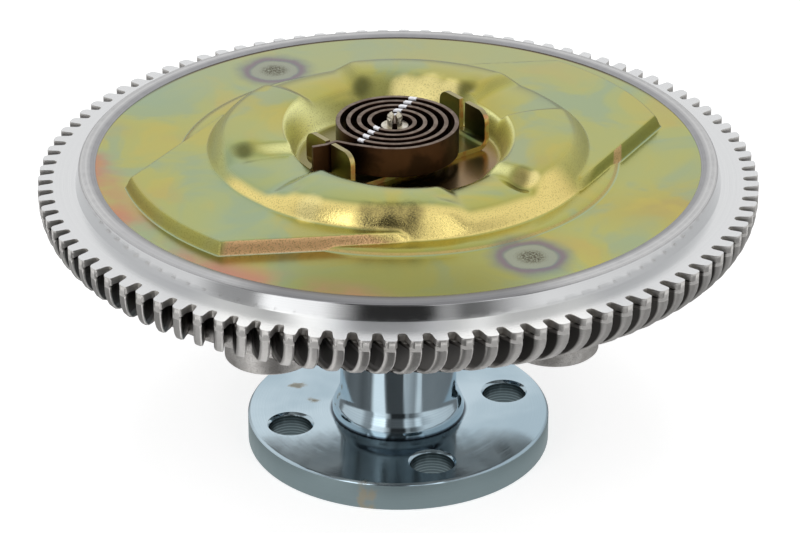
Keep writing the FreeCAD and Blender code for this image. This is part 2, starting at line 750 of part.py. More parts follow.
def bimetal_bracket():
    """Strap bent up at both ends into two pairs of ears with a slot between them."""
    low = PLATE_Z
    outer_r = BEND_R + STRAP_T
    diagonal = math.sqrt(0.5)
    inner_face = EAR_FACE - STRAP_T
    bend_x = EAR_FACE - outer_r
    bend_z = low + outer_r

    def corner(side, radius):
        centre = V(side * bend_x, 0, bend_z)
        return centre + V(side * radius * diagonal, 0, -radius * diagonal)

    wire = Part.Wire([
        Part.makeLine(V(-bend_x, 0, low), V(bend_x, 0, low)),
        Part.Arc(V(bend_x, 0, low), corner(1, outer_r), V(EAR_FACE, 0, bend_z)).toShape(),
        Part.makeLine(V(EAR_FACE, 0, bend_z), V(EAR_FACE, 0, EAR_TOP_Z)),
        Part.makeLine(V(EAR_FACE, 0, EAR_TOP_Z), V(inner_face, 0, EAR_TOP_Z)),
        Part.makeLine(V(inner_face, 0, EAR_TOP_Z), V(inner_face, 0, bend_z)),
        Part.Arc(V(inner_face, 0, bend_z), corner(1, BEND_R), V(bend_x, 0, low + STRAP_T)).toShape(),
        Part.makeLine(V(bend_x, 0, low + STRAP_T), V(-bend_x, 0, low + STRAP_T)),
        Part.Arc(V(-bend_x, 0, low + STRAP_T), corner(-1, BEND_R), V(-inner_face, 0, bend_z)).toShape(),
        Part.makeLine(V(-inner_face, 0, bend_z), V(-inner_face, 0, EAR_TOP_Z)),
        Part.makeLine(V(-inner_face, 0, EAR_TOP_Z), V(-EAR_FACE, 0, EAR_TOP_Z)),
        Part.makeLine(V(-EAR_FACE, 0, EAR_TOP_Z), V(-EAR_FACE, 0, bend_z)),
        Part.Arc(V(-EAR_FACE, 0, bend_z), corner(-1, outer_r), V(-bend_x, 0, low)).toShape(),
    ])
    strap = Part.Face(wire)
    strap.translate(V(0, -STRAP_HALF_W, 0))
    strap = strap.extrude(V(0, 2 * STRAP_HALF_W, 0))
    corners = [e for e in strap.Edges if ear_corner(e)]
    strap = strap.makeFillet(EAR_CORNER_R, corners)
    slot_foot = V(-2 * EAR_FACE, -EAR_SLOT_W / 2.0, low + STRAP_T + EAR_SLOT_FOOT)
    strap = strap.cut(Part.makeBox(4 * EAR_FACE, EAR_SLOT_W, EAR_RISE, slot_foot))
    strap = rotated(strap, STRAP_AZIMUTH)
    strap = strap.cut(disc(STRAP_HOLE_R, low, low + STRAP_T, valve_axis()))
    rivets = [disc(RIVET_R + RUNNING_GAP, low, low + STRAP_T, c) for c in rivet_centres()]
    return strap.cut(rivets)


def ear_corner(edge):
    """True for the short edges across the sheet at the outer top corners of the ears."""
    first, last = edge.Vertexes[0].Point, edge.Vertexes[-1].Point
    flat = abs(first.z - EAR_TOP_Z) < 0.01 and abs(last.z - EAR_TOP_Z) < 0.01
    return flat and abs(edge.Length - STRAP_T) < 0.01


def rivet_centres():
    """Plan centres of the two rivets that hold the strap."""
    return [strap_frame(side * RIVET_OFFSET, 0) for side in (-1, 1)]


def bracket_rivet(index):
    """Flat rivet through the strap and the cover."""
    top = PLATE_Z + STRAP_T
    centre = rivet_centres()[index]
    head = disc(RIVET_HEAD_R, top, top + RIVET_HEAD_H, centre)
    return disc(RIVET_R, COVER_UNDER_Z, top, centre).fuse(head)


def coil_centre_line():
    """Centre line of the strip in plan: stem in the pin's slot, spiral, tail out between the ears."""
    points = [valve_axis() + V(0, COIL_STEM_TIP, 0)]
    for i in range(round(COIL_TURNS * 360.0 / COIL_STEP) + 1):
        angle = i * COIL_STEP
        radius = COIL_FIRST_R + COIL_PITCH * angle / 360.0
        points.append(valve_axis() + polar(radius, COIL_FIRST_AZ - angle))
    return points + [strap_frame(along, across) for along, across in COIL_TAIL]


def beside(points, offset):
    """Line beside a centre line, mitred at each point."""
    shifted = []
    for i, point in enumerate(points):
        before = (point - points[i - 1]).normalize() if i > 0 else (points[1] - point).normalize()
        after = (points[i + 1] - point).normalize() if i + 1 < len(points) else before
        mean = (before + after).normalize()
        side = UP.cross(mean)
        shifted.append(point + side * (offset / mean.dot(after)))
    return shifted


def bimetal_coil():
    """Flat spiral spring of bimetal strip."""
    line = coil_centre_line()
    outline = beside(line, STRIP_T / 2.0) + beside(line, -STRIP_T / 2.0)[::-1]
    return prism(outline, COIL_TOP_Z - STRIP_H, COIL_TOP_Z)


PIECES = {
    "drive_shaft": drive_shaft,
    "bearing_inner_ring": bearing_inner_ring,
    "bearing_outer_ring": bearing_outer_ring,
    "bearing_rollers": bearing_rollers,
    "bearing_retaining_ring": bearing_retaining_ring,
    "rotor": rotor,
    "clutch_body": clutch_body,
    "cover_plate": cover_plate,
    "cover_seal_ring": cover_seal_ring,
    "partition_plate": partition_plate,
    "partition_stud_1": lambda: partition_stud(STUD_AZIMUTHS[0]),
    "partition_stud_2": lambda: partition_stud(STUD_AZIMUTHS[1]),
    "pump_wiper": pump_wiper,
    "valve_lever": valve_lever,
    "valve_shaft": valve_shaft,
    "valve_bush": valve_bush,
    "valve_shaft_seal": valve_shaft_seal,
    "bimetal_bracket": bimetal_bracket,
    "bracket_rivet_1": lambda: bracket_rivet(0),
    "bracket_rivet_2": lambda: bracket_rivet(1),
    "bimetal_coil": bimetal_coil,
}


def main():
    """Build every piece and export it."""
    os.makedirs("parts", exist_ok=True)
    for name, make in PIECES.items():
        shape = make()
        shape.exportStep("parts/" + name + ".step")


main()
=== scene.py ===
"""Looks of a viscous fan clutch: plated steel, cast and turned aluminium, bimetal and rubber."""

import json
import logging
import math
from collections.abc import Iterable
from dataclasses import dataclass
from enum import Enum
from types import SimpleNamespace

import bmesh
import bpy
from mathutils import Matrix, Vector

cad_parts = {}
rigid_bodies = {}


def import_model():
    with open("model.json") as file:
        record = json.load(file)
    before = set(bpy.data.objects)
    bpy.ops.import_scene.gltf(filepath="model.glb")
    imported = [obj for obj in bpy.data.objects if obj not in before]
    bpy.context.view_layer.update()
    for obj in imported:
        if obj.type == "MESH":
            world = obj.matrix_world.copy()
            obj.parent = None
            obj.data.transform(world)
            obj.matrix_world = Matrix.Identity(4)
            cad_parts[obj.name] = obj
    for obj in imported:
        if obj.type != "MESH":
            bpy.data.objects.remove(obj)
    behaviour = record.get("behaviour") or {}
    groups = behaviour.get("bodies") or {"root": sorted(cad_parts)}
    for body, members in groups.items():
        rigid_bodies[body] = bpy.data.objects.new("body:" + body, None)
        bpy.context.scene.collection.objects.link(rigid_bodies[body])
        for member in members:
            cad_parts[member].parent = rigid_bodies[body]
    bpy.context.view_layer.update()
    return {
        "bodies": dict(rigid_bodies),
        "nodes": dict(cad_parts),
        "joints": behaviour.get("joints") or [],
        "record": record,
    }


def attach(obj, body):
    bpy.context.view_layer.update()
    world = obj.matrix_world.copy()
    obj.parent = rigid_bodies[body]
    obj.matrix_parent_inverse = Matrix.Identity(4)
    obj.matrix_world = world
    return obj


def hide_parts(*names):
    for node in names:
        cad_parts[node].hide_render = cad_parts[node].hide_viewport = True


LOG = logging.getLogger("fan_clutch")
MM = 0.001
UP = Vector((0.0, 0.0, 1.0))
PLATE_Z = 106.4 * MM

Material = bpy.types.Material
Node = bpy.types.Node
Object = bpy.types.Object
Socket = bpy.types.NodeSocket
Tree = bpy.types.NodeTree
Shape = bmesh.types.BMesh
Span = tuple[float, float]
Spot = tuple[float, float, float]


class Body(Enum):
    """Rigid bodies that the pieces made here move with."""

    HOUSING = "housing"
    VALVE = "valve"


class Edge(Enum):
    """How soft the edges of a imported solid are: bevel width in millimetres and segments."""

    SHARP = (0.0, 0)
    CRISP = (0.12, 1)
    BROKEN = (0.3, 2)


def srgb(code: str) -> tuple[float, float, float, float]:
    """Linear colour of a hex code.

    Args:
        code: Six hex digits, as seen on screen.

    Returns:
        Red, green, blue and alpha, ready for a shader socket.
    """
    channels = [int(code[i : i + 2], 16) / 255.0 for i in (0, 2, 4)]
    linear = [c / 12.92 if c <= 0.04045 else ((c + 0.055) / 1.055) ** 2.4 for c in channels]
    return (linear[0], linear[1], linear[2], 1.0)


def polar(radius: float, azimuth: float, z: float = 0.0) -> Vector:
    """Point at a radius and an azimuth in degrees."""
    angle = math.radians(azimuth)
    return Vector((radius * math.cos(angle), radius * math.sin(angle), z))


def ease(value: float, low: float, high: float) -> float:
    """Smooth step from 0 at low to 1 at high."""
    share = min(max((value - low) / (high - low), 0.0), 1.0)
    return share * share * (3.0 - 2.0 * share)


def soft_max(first: float, second: float, radius: float) -> float:
    """Larger of two heights, with the corner between them rounded."""
    gap = max(radius - abs(first - second), 0.0) / radius
    return max(first, second) + gap * gap * radius * 0.25


def soft_min(first: float, second: float, radius: float) -> float:
    """Smaller of two heights, with the corner between them rounded."""
    return -soft_max(-first, -second, radius)


class Field:
    """Number or colour that a tree works out at each point; arithmetic on it adds Math nodes."""

    def __init__(self, wiring: "Wiring", socket: Socket) -> None:
        """Keep the tree's wiring and the socket that gives the value."""
        self.wiring = wiring
        self.socket = socket

    def __add__(self, other: "Value") -> "Field":
        """Sum with another value."""
        return self.wiring.math("ADD", self, other)

    def __radd__(self, other: "Value") -> "Field":
        """Sum of a constant and this field."""
        return self.wiring.math("ADD", other, self)

    def __sub__(self, other: "Value") -> "Field":
        """Difference from another value."""
        return self.wiring.math("SUBTRACT", self, other)

    def __rsub__(self, other: "Value") -> "Field":
        """Constant less this field."""
        return self.wiring.math("SUBTRACT", other, self)

    def __mul__(self, other: "Value") -> "Field":
        """Product with another value; of two masks, where both hold."""
        return self.wiring.math("MULTIPLY", self, other)

    def __truediv__(self, other: "Value") -> "Field":
        """Quotient by another value."""
        return self.wiring.math("DIVIDE", self, other)

    def __pow__(self, other: "Value") -> "Field":
        """Power of this field."""
        return self.wiring.math("POWER", self, other)

    def __abs__(self) -> "Field":
        """Value without its sign."""
        return self.wiring.math("ABSOLUTE", self)

    def step(self, low: float, high: float) -> "Field":
        """Smooth mask that rises from 0 at low to 1 at high."""
        given = {"Value": self, "From Min": low, "From Max": high}
        return self.wiring.field("ShaderNodeMapRange", given, "Result", interpolation_type="SMOOTHSTEP")

    def fall(self, low: float, high: float) -> "Field":
        """Smooth mask that falls from 1 at low to 0 at high."""
        return 1.0 - self.step(low, high)


Value = Field | float | str | tuple


class Wiring:
    """Short way to place and join the nodes of one tree."""

    def __init__(self, tree: Tree) -> None:
        """Keep the tree to work on."""
        self.tree = tree

    @classmethod
    def of(cls, owner: Material | bpy.types.World) -> "Wiring":
        """Empty the tree of a material or a world, ready to be built.

        Args:
            owner: The material or world.

        Returns:
            The wiring of its tree.
        """
        owner.use_nodes = True
        owner.node_tree.nodes.clear()
        return cls(owner.node_tree)

    def node(self, kind: str, given: dict[int | str, Value] | None = None, **settings: object) -> Node:
        """Add a node.

        Args:
            kind: Blender's name of the node type.
            given: What its inputs take, by name or number: a field, a constant or a hex colour.
            settings: Properties of the node.

        Returns:
            The new node.
        """
        made = self.tree.nodes.new(kind)
        for name, value in settings.items():
            setattr(made, name, value)
        for name, value in (given or {}).items():
            if isinstance(value, Field):
                self.tree.links.new(value.socket, made.inputs[name])
            else:
                made.inputs[name].default_value = srgb(value) if isinstance(value, str) else value
        return made

    def field(self, kind: str, given: dict, output: int | str = 0, **settings: object) -> Field:
        """Add a node and take one of its outputs."""
        return Field(self, self.node(kind, given, **settings).outputs[output])

    def math(self, operation: str, first: Value, second: Value = 0.0) -> Field:
        """Result of a Math node."""
        return self.field("ShaderNodeMath", {0: first, 1: second}, operation=operation)

    def mix(self, mask: Value, first: Value, second: Value) -> Field:
        """Colour between two colours."""
        return self.field("ShaderNodeMix", {0: mask, 6: first, 7: second}, 2, data_type="RGBA")

    def blend(self, mask: Value, first: Value, second: Value) -> Field:
        """Number between two numbers."""
        return self.field("ShaderNodeMix", {0: mask, 2: first, 3: second}, data_type="FLOAT")

    def coordinate(self, name: str = "Object") -> Field:
        """Output of a Texture Coordinate node."""
        return self.field("ShaderNodeTexCoord", {}, name)

    def split(self, vector: Field) -> list[Field]:
        """Three parts of a vector."""
        return [Field(self, socket) for socket in self.node("ShaderNodeSeparateXYZ", {0: vector}).outputs]

    def point(self, x: Field, y: Field) -> Field:
        """Vector in plan."""
        return self.field("ShaderNodeCombineXYZ", {0: x, 1: y})

    def length(self, vector: Field) -> Field:
        """Length of a vector."""
        return self.field("ShaderNodeVectorMath", {0: vector}, "Value", operation="LENGTH")

    def noise(self, scale: Value, detail: float, **given: Value) -> Field:
        """Value of a Noise node, on Object coordinates unless a Vector is given."""
        given = {"Vector": given.pop("Vector", None) or self.coordinate(), **given}
        return self.field("ShaderNodeTexNoise", {"Scale": scale, "Detail": detail, **given}, "Fac")

    def ramp(self, value: Field, stops: Iterable[tuple[float, tuple | str]]) -> Field:
        """Colour from a Color Ramp.

        Args:
            value: What the ramp reads.
            stops: Place and colour of each stop.

        Returns:
            The colour.
        """
        made = self.node("ShaderNodeValToRGB", {0: value})
        elements = made.color_ramp.elements
        stops = list(stops)
        while len(elements) < len(stops):
            elements.new(0.5)
        for element, (place, colour) in zip(elements, stops):
            element.position = place
            element.color = srgb(colour) if isinstance(colour, str) else colour
        return Field(self, made.outputs[0])

    def ray(self, kind: str) -> Field:
        """Mask of the rays of one kind, such as Camera or Glossy."""
        return self.field("ShaderNodeLightPath", {}, "Is " + kind + " Ray")

    def group(self, tree: Tree, **given: Value) -> SimpleNamespace:
        """Place a node group and name its outputs in small letters."""
        made = self.node("ShaderNodeGroup", given, node_tree=tree)
        return SimpleNamespace(**{socket.name.lower(): Field(self, socket) for socket in made.outputs})


class Effects:
    """Node groups that several finishes share."""

    def __init__(self) -> None:
        """Build each group once."""
        self.place = self._place()
        self.grain = self._grain()
        self.film = self._film()
        self.turning = self._turning()
        self.spot = self._spot()

    @staticmethod
    def _begin(name: str, **inputs: float) -> tuple[Wiring, SimpleNamespace]:
        """Start a group.

        Args:
            name: The group's name.
            inputs: Default value of each number input.

        Returns:
            The wiring, and the inputs' fields by name in small letters.
        """
        tree = bpy.data.node_groups.new(name, "ShaderNodeTree")
        for label, value in inputs.items():
            socket = tree.interface.new_socket(label, in_out="INPUT", socket_type="NodeSocketFloat")
            socket.default_value = value
        wiring = Wiring(tree)
        entry = wiring.node("NodeGroupInput")
        given = {label.lower(): Field(wiring, entry.outputs[label]) for label in inputs}
        return wiring, SimpleNamespace(**given)

    @staticmethod
    def _end(wiring: Wiring, **outputs: Field) -> Tree:
        """Close a group with its number outputs.

        Args:
            wiring: The group's wiring.
            outputs: The fields to give out, by label.

        Returns:
            The finished group.
        """
        for label in outputs:
            wiring.tree.interface.new_socket(label, in_out="OUTPUT", socket_type="NodeSocketFloat")
        wiring.node("NodeGroupOutput", outputs)
        return wiring.tree

    def _place(self) -> Tree:
        """Where a point lies on the clutch, and how far its face looks up.

        Returns:
            The group.
        """
        wiring, _ = self._begin("place_on_clutch")
        x, y, z = wiring.split(wiring.coordinate())
        up = wiring.split(wiring.coordinate("Normal"))[2]
        radius = wiring.math("SQRT", abs(x) ** 2.0 + abs(y) ** 2.0)
        return self._end(wiring, Radius=radius, Height=z, Up=up, X=x, Y=y)

    def _grain(self) -> Tree:
        """Fine pitted surface: a height and a mask of its hollows.

        Returns:
            The group.
        """
        wiring, given = self._begin("fine_grain", Scale=900.0)
        pits = wiring.noise(given.scale, 4.0, Roughness=0.6)
        return self._end(wiring, Height=pits, Hollow=pits.fall(0.36, 0.5))

    def _film(self) -> Tree:
        """Broad cloudy variation, warped so that its patches look poured, and finer streaks.

        Returns:
            The group.
        """
        wiring, given = self._begin("cloudy_film", Scale=14.0, Drift=0.3)
        cloud = wiring.noise(given.scale, 3.0, Distortion=given.drift)
        return self._end(wiring, Cloud=cloud, Streak=wiring.noise(given.scale * 4.3, 5.0))

    def _turning(self) -> Tree:
        """Lines that a lathe tool leaves, rings about the clutch's axis.

        Returns:
            The group.
        """
        wiring, given = self._begin("turning_lines", Lines=2600.0)
        x, y, z = wiring.split(wiring.coordinate())
        section = wiring.point(wiring.length(wiring.point(x, y)), z)
        rings = wiring.noise(given.lines, 2.0, Vector=section)
        return self._end(wiring, Height=rings, Tone=rings.step(0.35, 0.65))

    def _spot(self) -> Tree:
        """Ragged round spot at a place in plan: its distance, roughened by noise.

        Returns:
            The group.
        """
        wiring, given = self._begin("ragged_spot", X=0.0, Y=0.0, Ragged=0.15, Scale=160.0)
        x, y, _ = wiring.split(wiring.coordinate())
        away = wiring.length(wiring.point(x - given.x, y - given.y))
        swing = wiring.noise(given.scale, 4.0) - 0.5
        return self._end(wiring, Distance=away * (swing * given.ragged + 1.0))


class Canvas(Wiring):
    """Wiring of one material, with the place on the clutch and the shared effects at hand."""

    def begin(self, effects: Effects) -> "Canvas":
        """Keep the effects and find the place on the clutch.

        Args:
            effects: The shared groups.

        Returns:
            The canvas itself.
        """
        self.effects = effects
        place = self.group(effects.place)
        self.x, self.y, self.height = place.x, place.y, place.height
        self.radius, self.up = place.radius, place.up
        return self

    def grain(self, scale: float) -> SimpleNamespace:
        """Fine grain: height and hollow."""
        return self.group(self.effects.grain, Scale=scale)

    def film(self, scale: float, drift: float) -> SimpleNamespace:
        """Cloudy film: cloud and streak."""
        return self.group(self.effects.film, Scale=scale, Drift=drift)

    def turning(self, lines: float) -> SimpleNamespace:
        """Tool lines: height and tone."""
        return self.group(self.effects.turning, Lines=lines)

    def spot(self, x: float, y: float, ragged: float, scale: float) -> Field:
        """Ragged distance from a place in plan."""
        return self.group(self.effects.spot, X=x, Y=y, Ragged=ragged, Scale=scale).distance


@dataclass(frozen=True)
class Look:
    """What a finish gives its shader."""

    colour: Field
    rough: Field
    relief: Field
    metallic: Field | float = 1.0


@dataclass(frozen=True, kw_only=True)
class Finish:
    """One material of the clutch; each kind works out its own look."""

    name: str
    bump: float
    bump_distance: float = 0.0002

    def look(self, canvas: Canvas) -> Look:
        """Work out colour, roughness and relief."""
        raise NotImplementedError

    def build(self, effects: Effects) -> Material:
        """Build the material.

        Args:
            effects: The shared node groups.

        Returns:
            The finished material.
        """
        material = bpy.data.materials.new(self.name)
        canvas = Canvas.of(material).begin(effects)
        look = self.look(canvas)
        relief = {"Strength": self.bump, "Distance": self.bump_distance, "Height": look.relief}
        shader = canvas.field("ShaderNodeBsdfPrincipled", {
            "Base Color": look.colour, "Roughness": look.rough, "Metallic": look.metallic,
            "Normal": canvas.field("ShaderNodeBump", relief),
        })
        canvas.node("ShaderNodeOutputMaterial", {"Surface": shader})
        return material


@dataclass(frozen=True, kw_only=True)
class YellowZinc(Finish):
    """Yellow passivated zinc on the pressed cover, with its weld spots and coloured film."""

    name: str = "yellow_zinc"
    bump: float = 0.35
    bump_distance: float = 0.00012
    ring_foot: Span = (0.066, 0.068)
    bowl_edge: Span = (0.046, 0.05)
    back: Span = (0.02, 0.035)
    weld_spots: tuple[Span, ...] = ((-0.044, 0.072), (0.042, -0.074))
    # Painted shade: places in metres of dark spots at the pinched hollows at the lobes' ends.
    hollows: tuple[Span, ...] = (
        (-0.0510, -0.0150), (0.0398, -0.0345), (0.0235, 0.0352), (-0.0126, 0.0410),
    )
    # Painted highlights: x, y and size in metres of pale glints on the ring's walls.
    pale_spots: tuple[Spot, ...] = (
        (0.0440, -0.0362, 0.0034), (-0.0290, -0.0545, 0.0055), (0.0020, 0.0395, 0.0070),
        (0.0100, 0.0380, 0.0080), (0.0170, 0.0355, 0.0060),
    )
    # Painted dark reflection: x, y and size in metres of spots across the middle of the ring's front wall.
    rubbed: tuple[Spot, ...] = (
        (-0.0103, -0.0612, 0.0048), (-0.0028, -0.0612, 0.0056), (0.0044, -0.0608, 0.0048),
    )
    drifts: tuple[tuple[float, str], ...] = (
        (0.28, "9CAD88"), (0.40, "A8AF70"), (0.50, "B0AF62"), (0.60, "B2AA5A"), (0.74, "B1925C"),
    )

    def look(self, canvas: Canvas) -> Look:
        """Paint the level sheet, then its walls with painted light, painted shade on the bowl's floor and at
        the hollows, and the weld spots.

        Args:
            canvas: The material's wiring.

        Returns:
            Colour, roughness and relief.
        """
        slope = canvas.up.fall(0.72, 0.96)
        fleck = canvas.grain(2000.0)
        colour = self.flats(canvas)
        colour = self.ring_walls(canvas, slope, fleck, colour)
        colour = self.leaf_walls(canvas, slope, fleck, colour)
        # Painted shade: the bowl's floor under the coil is darkened, browner on the right.
        floor = canvas.radius.fall(0.0325, 0.0355)
        colour = canvas.mix(floor * 0.85, colour, canvas.mix(canvas.x.step(0.008, 0.024), "7A7048", "86644C"))
        # Painted shade at the pinched hollows.
        for x, y in self.hollows:
            spot = canvas.spot(x, y, 0.6, 120.0)
            colour = canvas.mix(spot.fall(0.0008, 0.0052) * 0.7, colour, "3E4226")
        colour = canvas.mix(slope * fleck.hollow * 0.3, colour, "6A6228")
        rough = canvas.blend(slope, 0.22, canvas.blend(canvas.y.fall(-0.045, -0.03), 0.42, 0.13))
        rough = canvas.blend(slope * canvas.radius.fall(*self.bowl_edge), rough, 0.38)
        rough = canvas.blend(slope * canvas.radius.step(0.068, 0.070), rough, 0.42)
        relief = canvas.grain(1500.0).height * canvas.blend(slope, 0.3, 1.5)
        for x, y in self.weld_spots:
            spot = canvas.spot(x, y, 0.3, 140.0)
            colour = canvas.mix(spot.fall(0.0085, 0.0165) * 0.75, colour, "6C7580")
            halo = spot.step(0.0082, 0.0096) * spot.fall(0.0096, 0.0122)
            colour = canvas.mix(halo * 0.5, colour, "7E5872")
            disc = spot.fall(0.0076, 0.0088)
            colour = canvas.mix(disc * 0.85, colour, "9A9E8A")
            core = spot.fall(0.0022, 0.0062) * fleck.height.step(0.38, 0.58) * 0.85
            colour = canvas.mix(core, colour, "5C5444")
            rough = canvas.blend(core, rough, 0.7)
            relief = relief + disc * -1.5
        return Look(colour, rough, relief)

    def flats(self, canvas: Canvas) -> Field:
        """Colour the level sheet: drifting olive, a pink band at the left rim, a brown line at the back.

        Args:
            canvas: The material's wiring.

        Returns:
            The colour.
        """
        film = canvas.film(9.0, 0.5)
        colour = canvas.ramp(film.cloud, self.drifts)
        drift = canvas.film(38.0, 0.7).cloud
        colour = canvas.mix(drift.fall(0.34, 0.5) * 0.55, colour, "8FA68E")
        colour = canvas.mix(drift.step(0.52, 0.66) * 0.5, colour, "C0B050")
        colour = canvas.mix(film.streak.step(0.55, 0.75) * 0.2, colour, "B4946A")
        front = canvas.y.fall(-0.1, -0.05) * abs(canvas.x).fall(0.02, 0.06)
        colour = canvas.mix(front * 0.8, colour, "7F8034")
        back = canvas.y.step(0.03, 0.085)
        colour = canvas.mix(back * 0.5, colour, "A3AC88")
        lower_left = ((canvas.x * 1.3 + canvas.y) * -1.0).step(0.085, 0.135)
        band = canvas.radius.step(0.088, 0.101) * lower_left * film.streak.step(0.3, 0.6)
        colour = canvas.mix(band * 0.75, colour, "C0746A")
        edge = canvas.radius.step(0.1002, 0.1010) * back
        return canvas.mix(edge * 0.85, colour, "5E3E2A")

    def ring_walls(self, canvas: Canvas, slope: Field, fleck: SimpleNamespace, colour: Field) -> Field:
        """Paint light and shade on the walls of the lobed ring: paler than the flats, painted highlights
        palest at the front, painted shade at the back, and a painted dark reflection across its middle.

        Args:
            canvas: The material's wiring.
            slope: Mask of the sloping walls.
            fleck: Fine grain that breaks up the painted dark reflection.
            colour: The colour so far.

        Returns:
            The colour with the painted light and shade on the ring's walls.
        """
        # Painted light: the ring's walls are paler than the flats.
        wall = slope * canvas.radius.fall(*self.ring_foot)
        colour = canvas.mix(wall * 0.6, colour, "C4C276")
        # Painted highlight on the bowl's walls, except at the back.
        bowl = wall * canvas.radius.fall(*self.bowl_edge) * canvas.y.fall(*self.back)
        colour = canvas.mix(bowl * 0.95, colour, "FFFFB4")
        # Painted shade on the ring's walls at the back.
        colour = canvas.mix(wall * canvas.y.step(*self.back) * 0.75, colour, "86854C")
        # Painted highlight on the ring's outer walls at the front.
        ahead = canvas.y.fall(-0.035, -0.025) * canvas.radius.step(0.049, 0.052)
        colour = canvas.mix(wall * ahead * 0.9, colour, "FFE894")
        # Painted highlights: pale glints on the walls.
        for x, y, size in self.pale_spots:
            spot = canvas.spot(x, y, 0.8, 150.0)
            colour = canvas.mix(spot.fall(size * 0.3, size) * 0.85, colour, "FFEFA4")
        # Painted dark reflection across the middle of the front wall, speckled by the grain.
        for x, y, size in self.rubbed:
            speck = canvas.blend(fleck.height.step(0.3, 0.6), 0.45, 1.0)
            mask = canvas.spot(x, y, 1.2, 260.0).fall(0.0, size * 1.25) * speck
            colour = canvas.mix(mask * 0.9, colour, "4A4630")
        return colour

    def leaf_walls(self, canvas: Canvas, slope: Field, fleck: SimpleNamespace, colour: Field) -> Field:
        """Colour the walls of the leaves and the terrace: worn pink in front, painted shade on the walls at
        the right, a pale line at their feet.

        Args:
            canvas: The material's wiring.
            slope: Mask of the sloping walls.
            fleck: Fine grain of the pressed metal.
            colour: The colour so far.

        Returns:
            The colour with the leaves' walls.
        """
        outer = slope * canvas.radius.step(*self.ring_foot)
        colour = canvas.mix(outer * 0.6, colour, "B0A84E")
        # Painted shade on the walls at the right.
        colour = canvas.mix(outer * canvas.x.step(0.045, 0.06) * 0.6, colour, "6F7A34")
        front = outer * canvas.y.fall(-0.062, -0.052)
        side = canvas.x + canvas.y * -0.72
        pink = front * canvas.x.fall(0.02, 0.05) * side.step(-0.0045, -0.0015)
        terrace = outer * (canvas.radius.step(0.072, 0.0726) * canvas.radius.fall(0.0746, 0.0752))
        pink = canvas.math("MAXIMUM", pink, terrace * 0.7)
        pressed = canvas.mix(fleck.hollow * 0.4, "F0BE90", "9A6E50")
        colour = canvas.mix(pink * 0.8, colour, pressed)
        low = canvas.height.fall(PLATE_Z + 0.00035, PLATE_Z + 0.0007)
        foot = low * canvas.up.fall(0.93, 0.99) * canvas.radius.fall(0.096, 0.097)
        return canvas.mix(foot * canvas.radius.step(0.058, 0.060) * 0.45, colour, "A9C6B2")


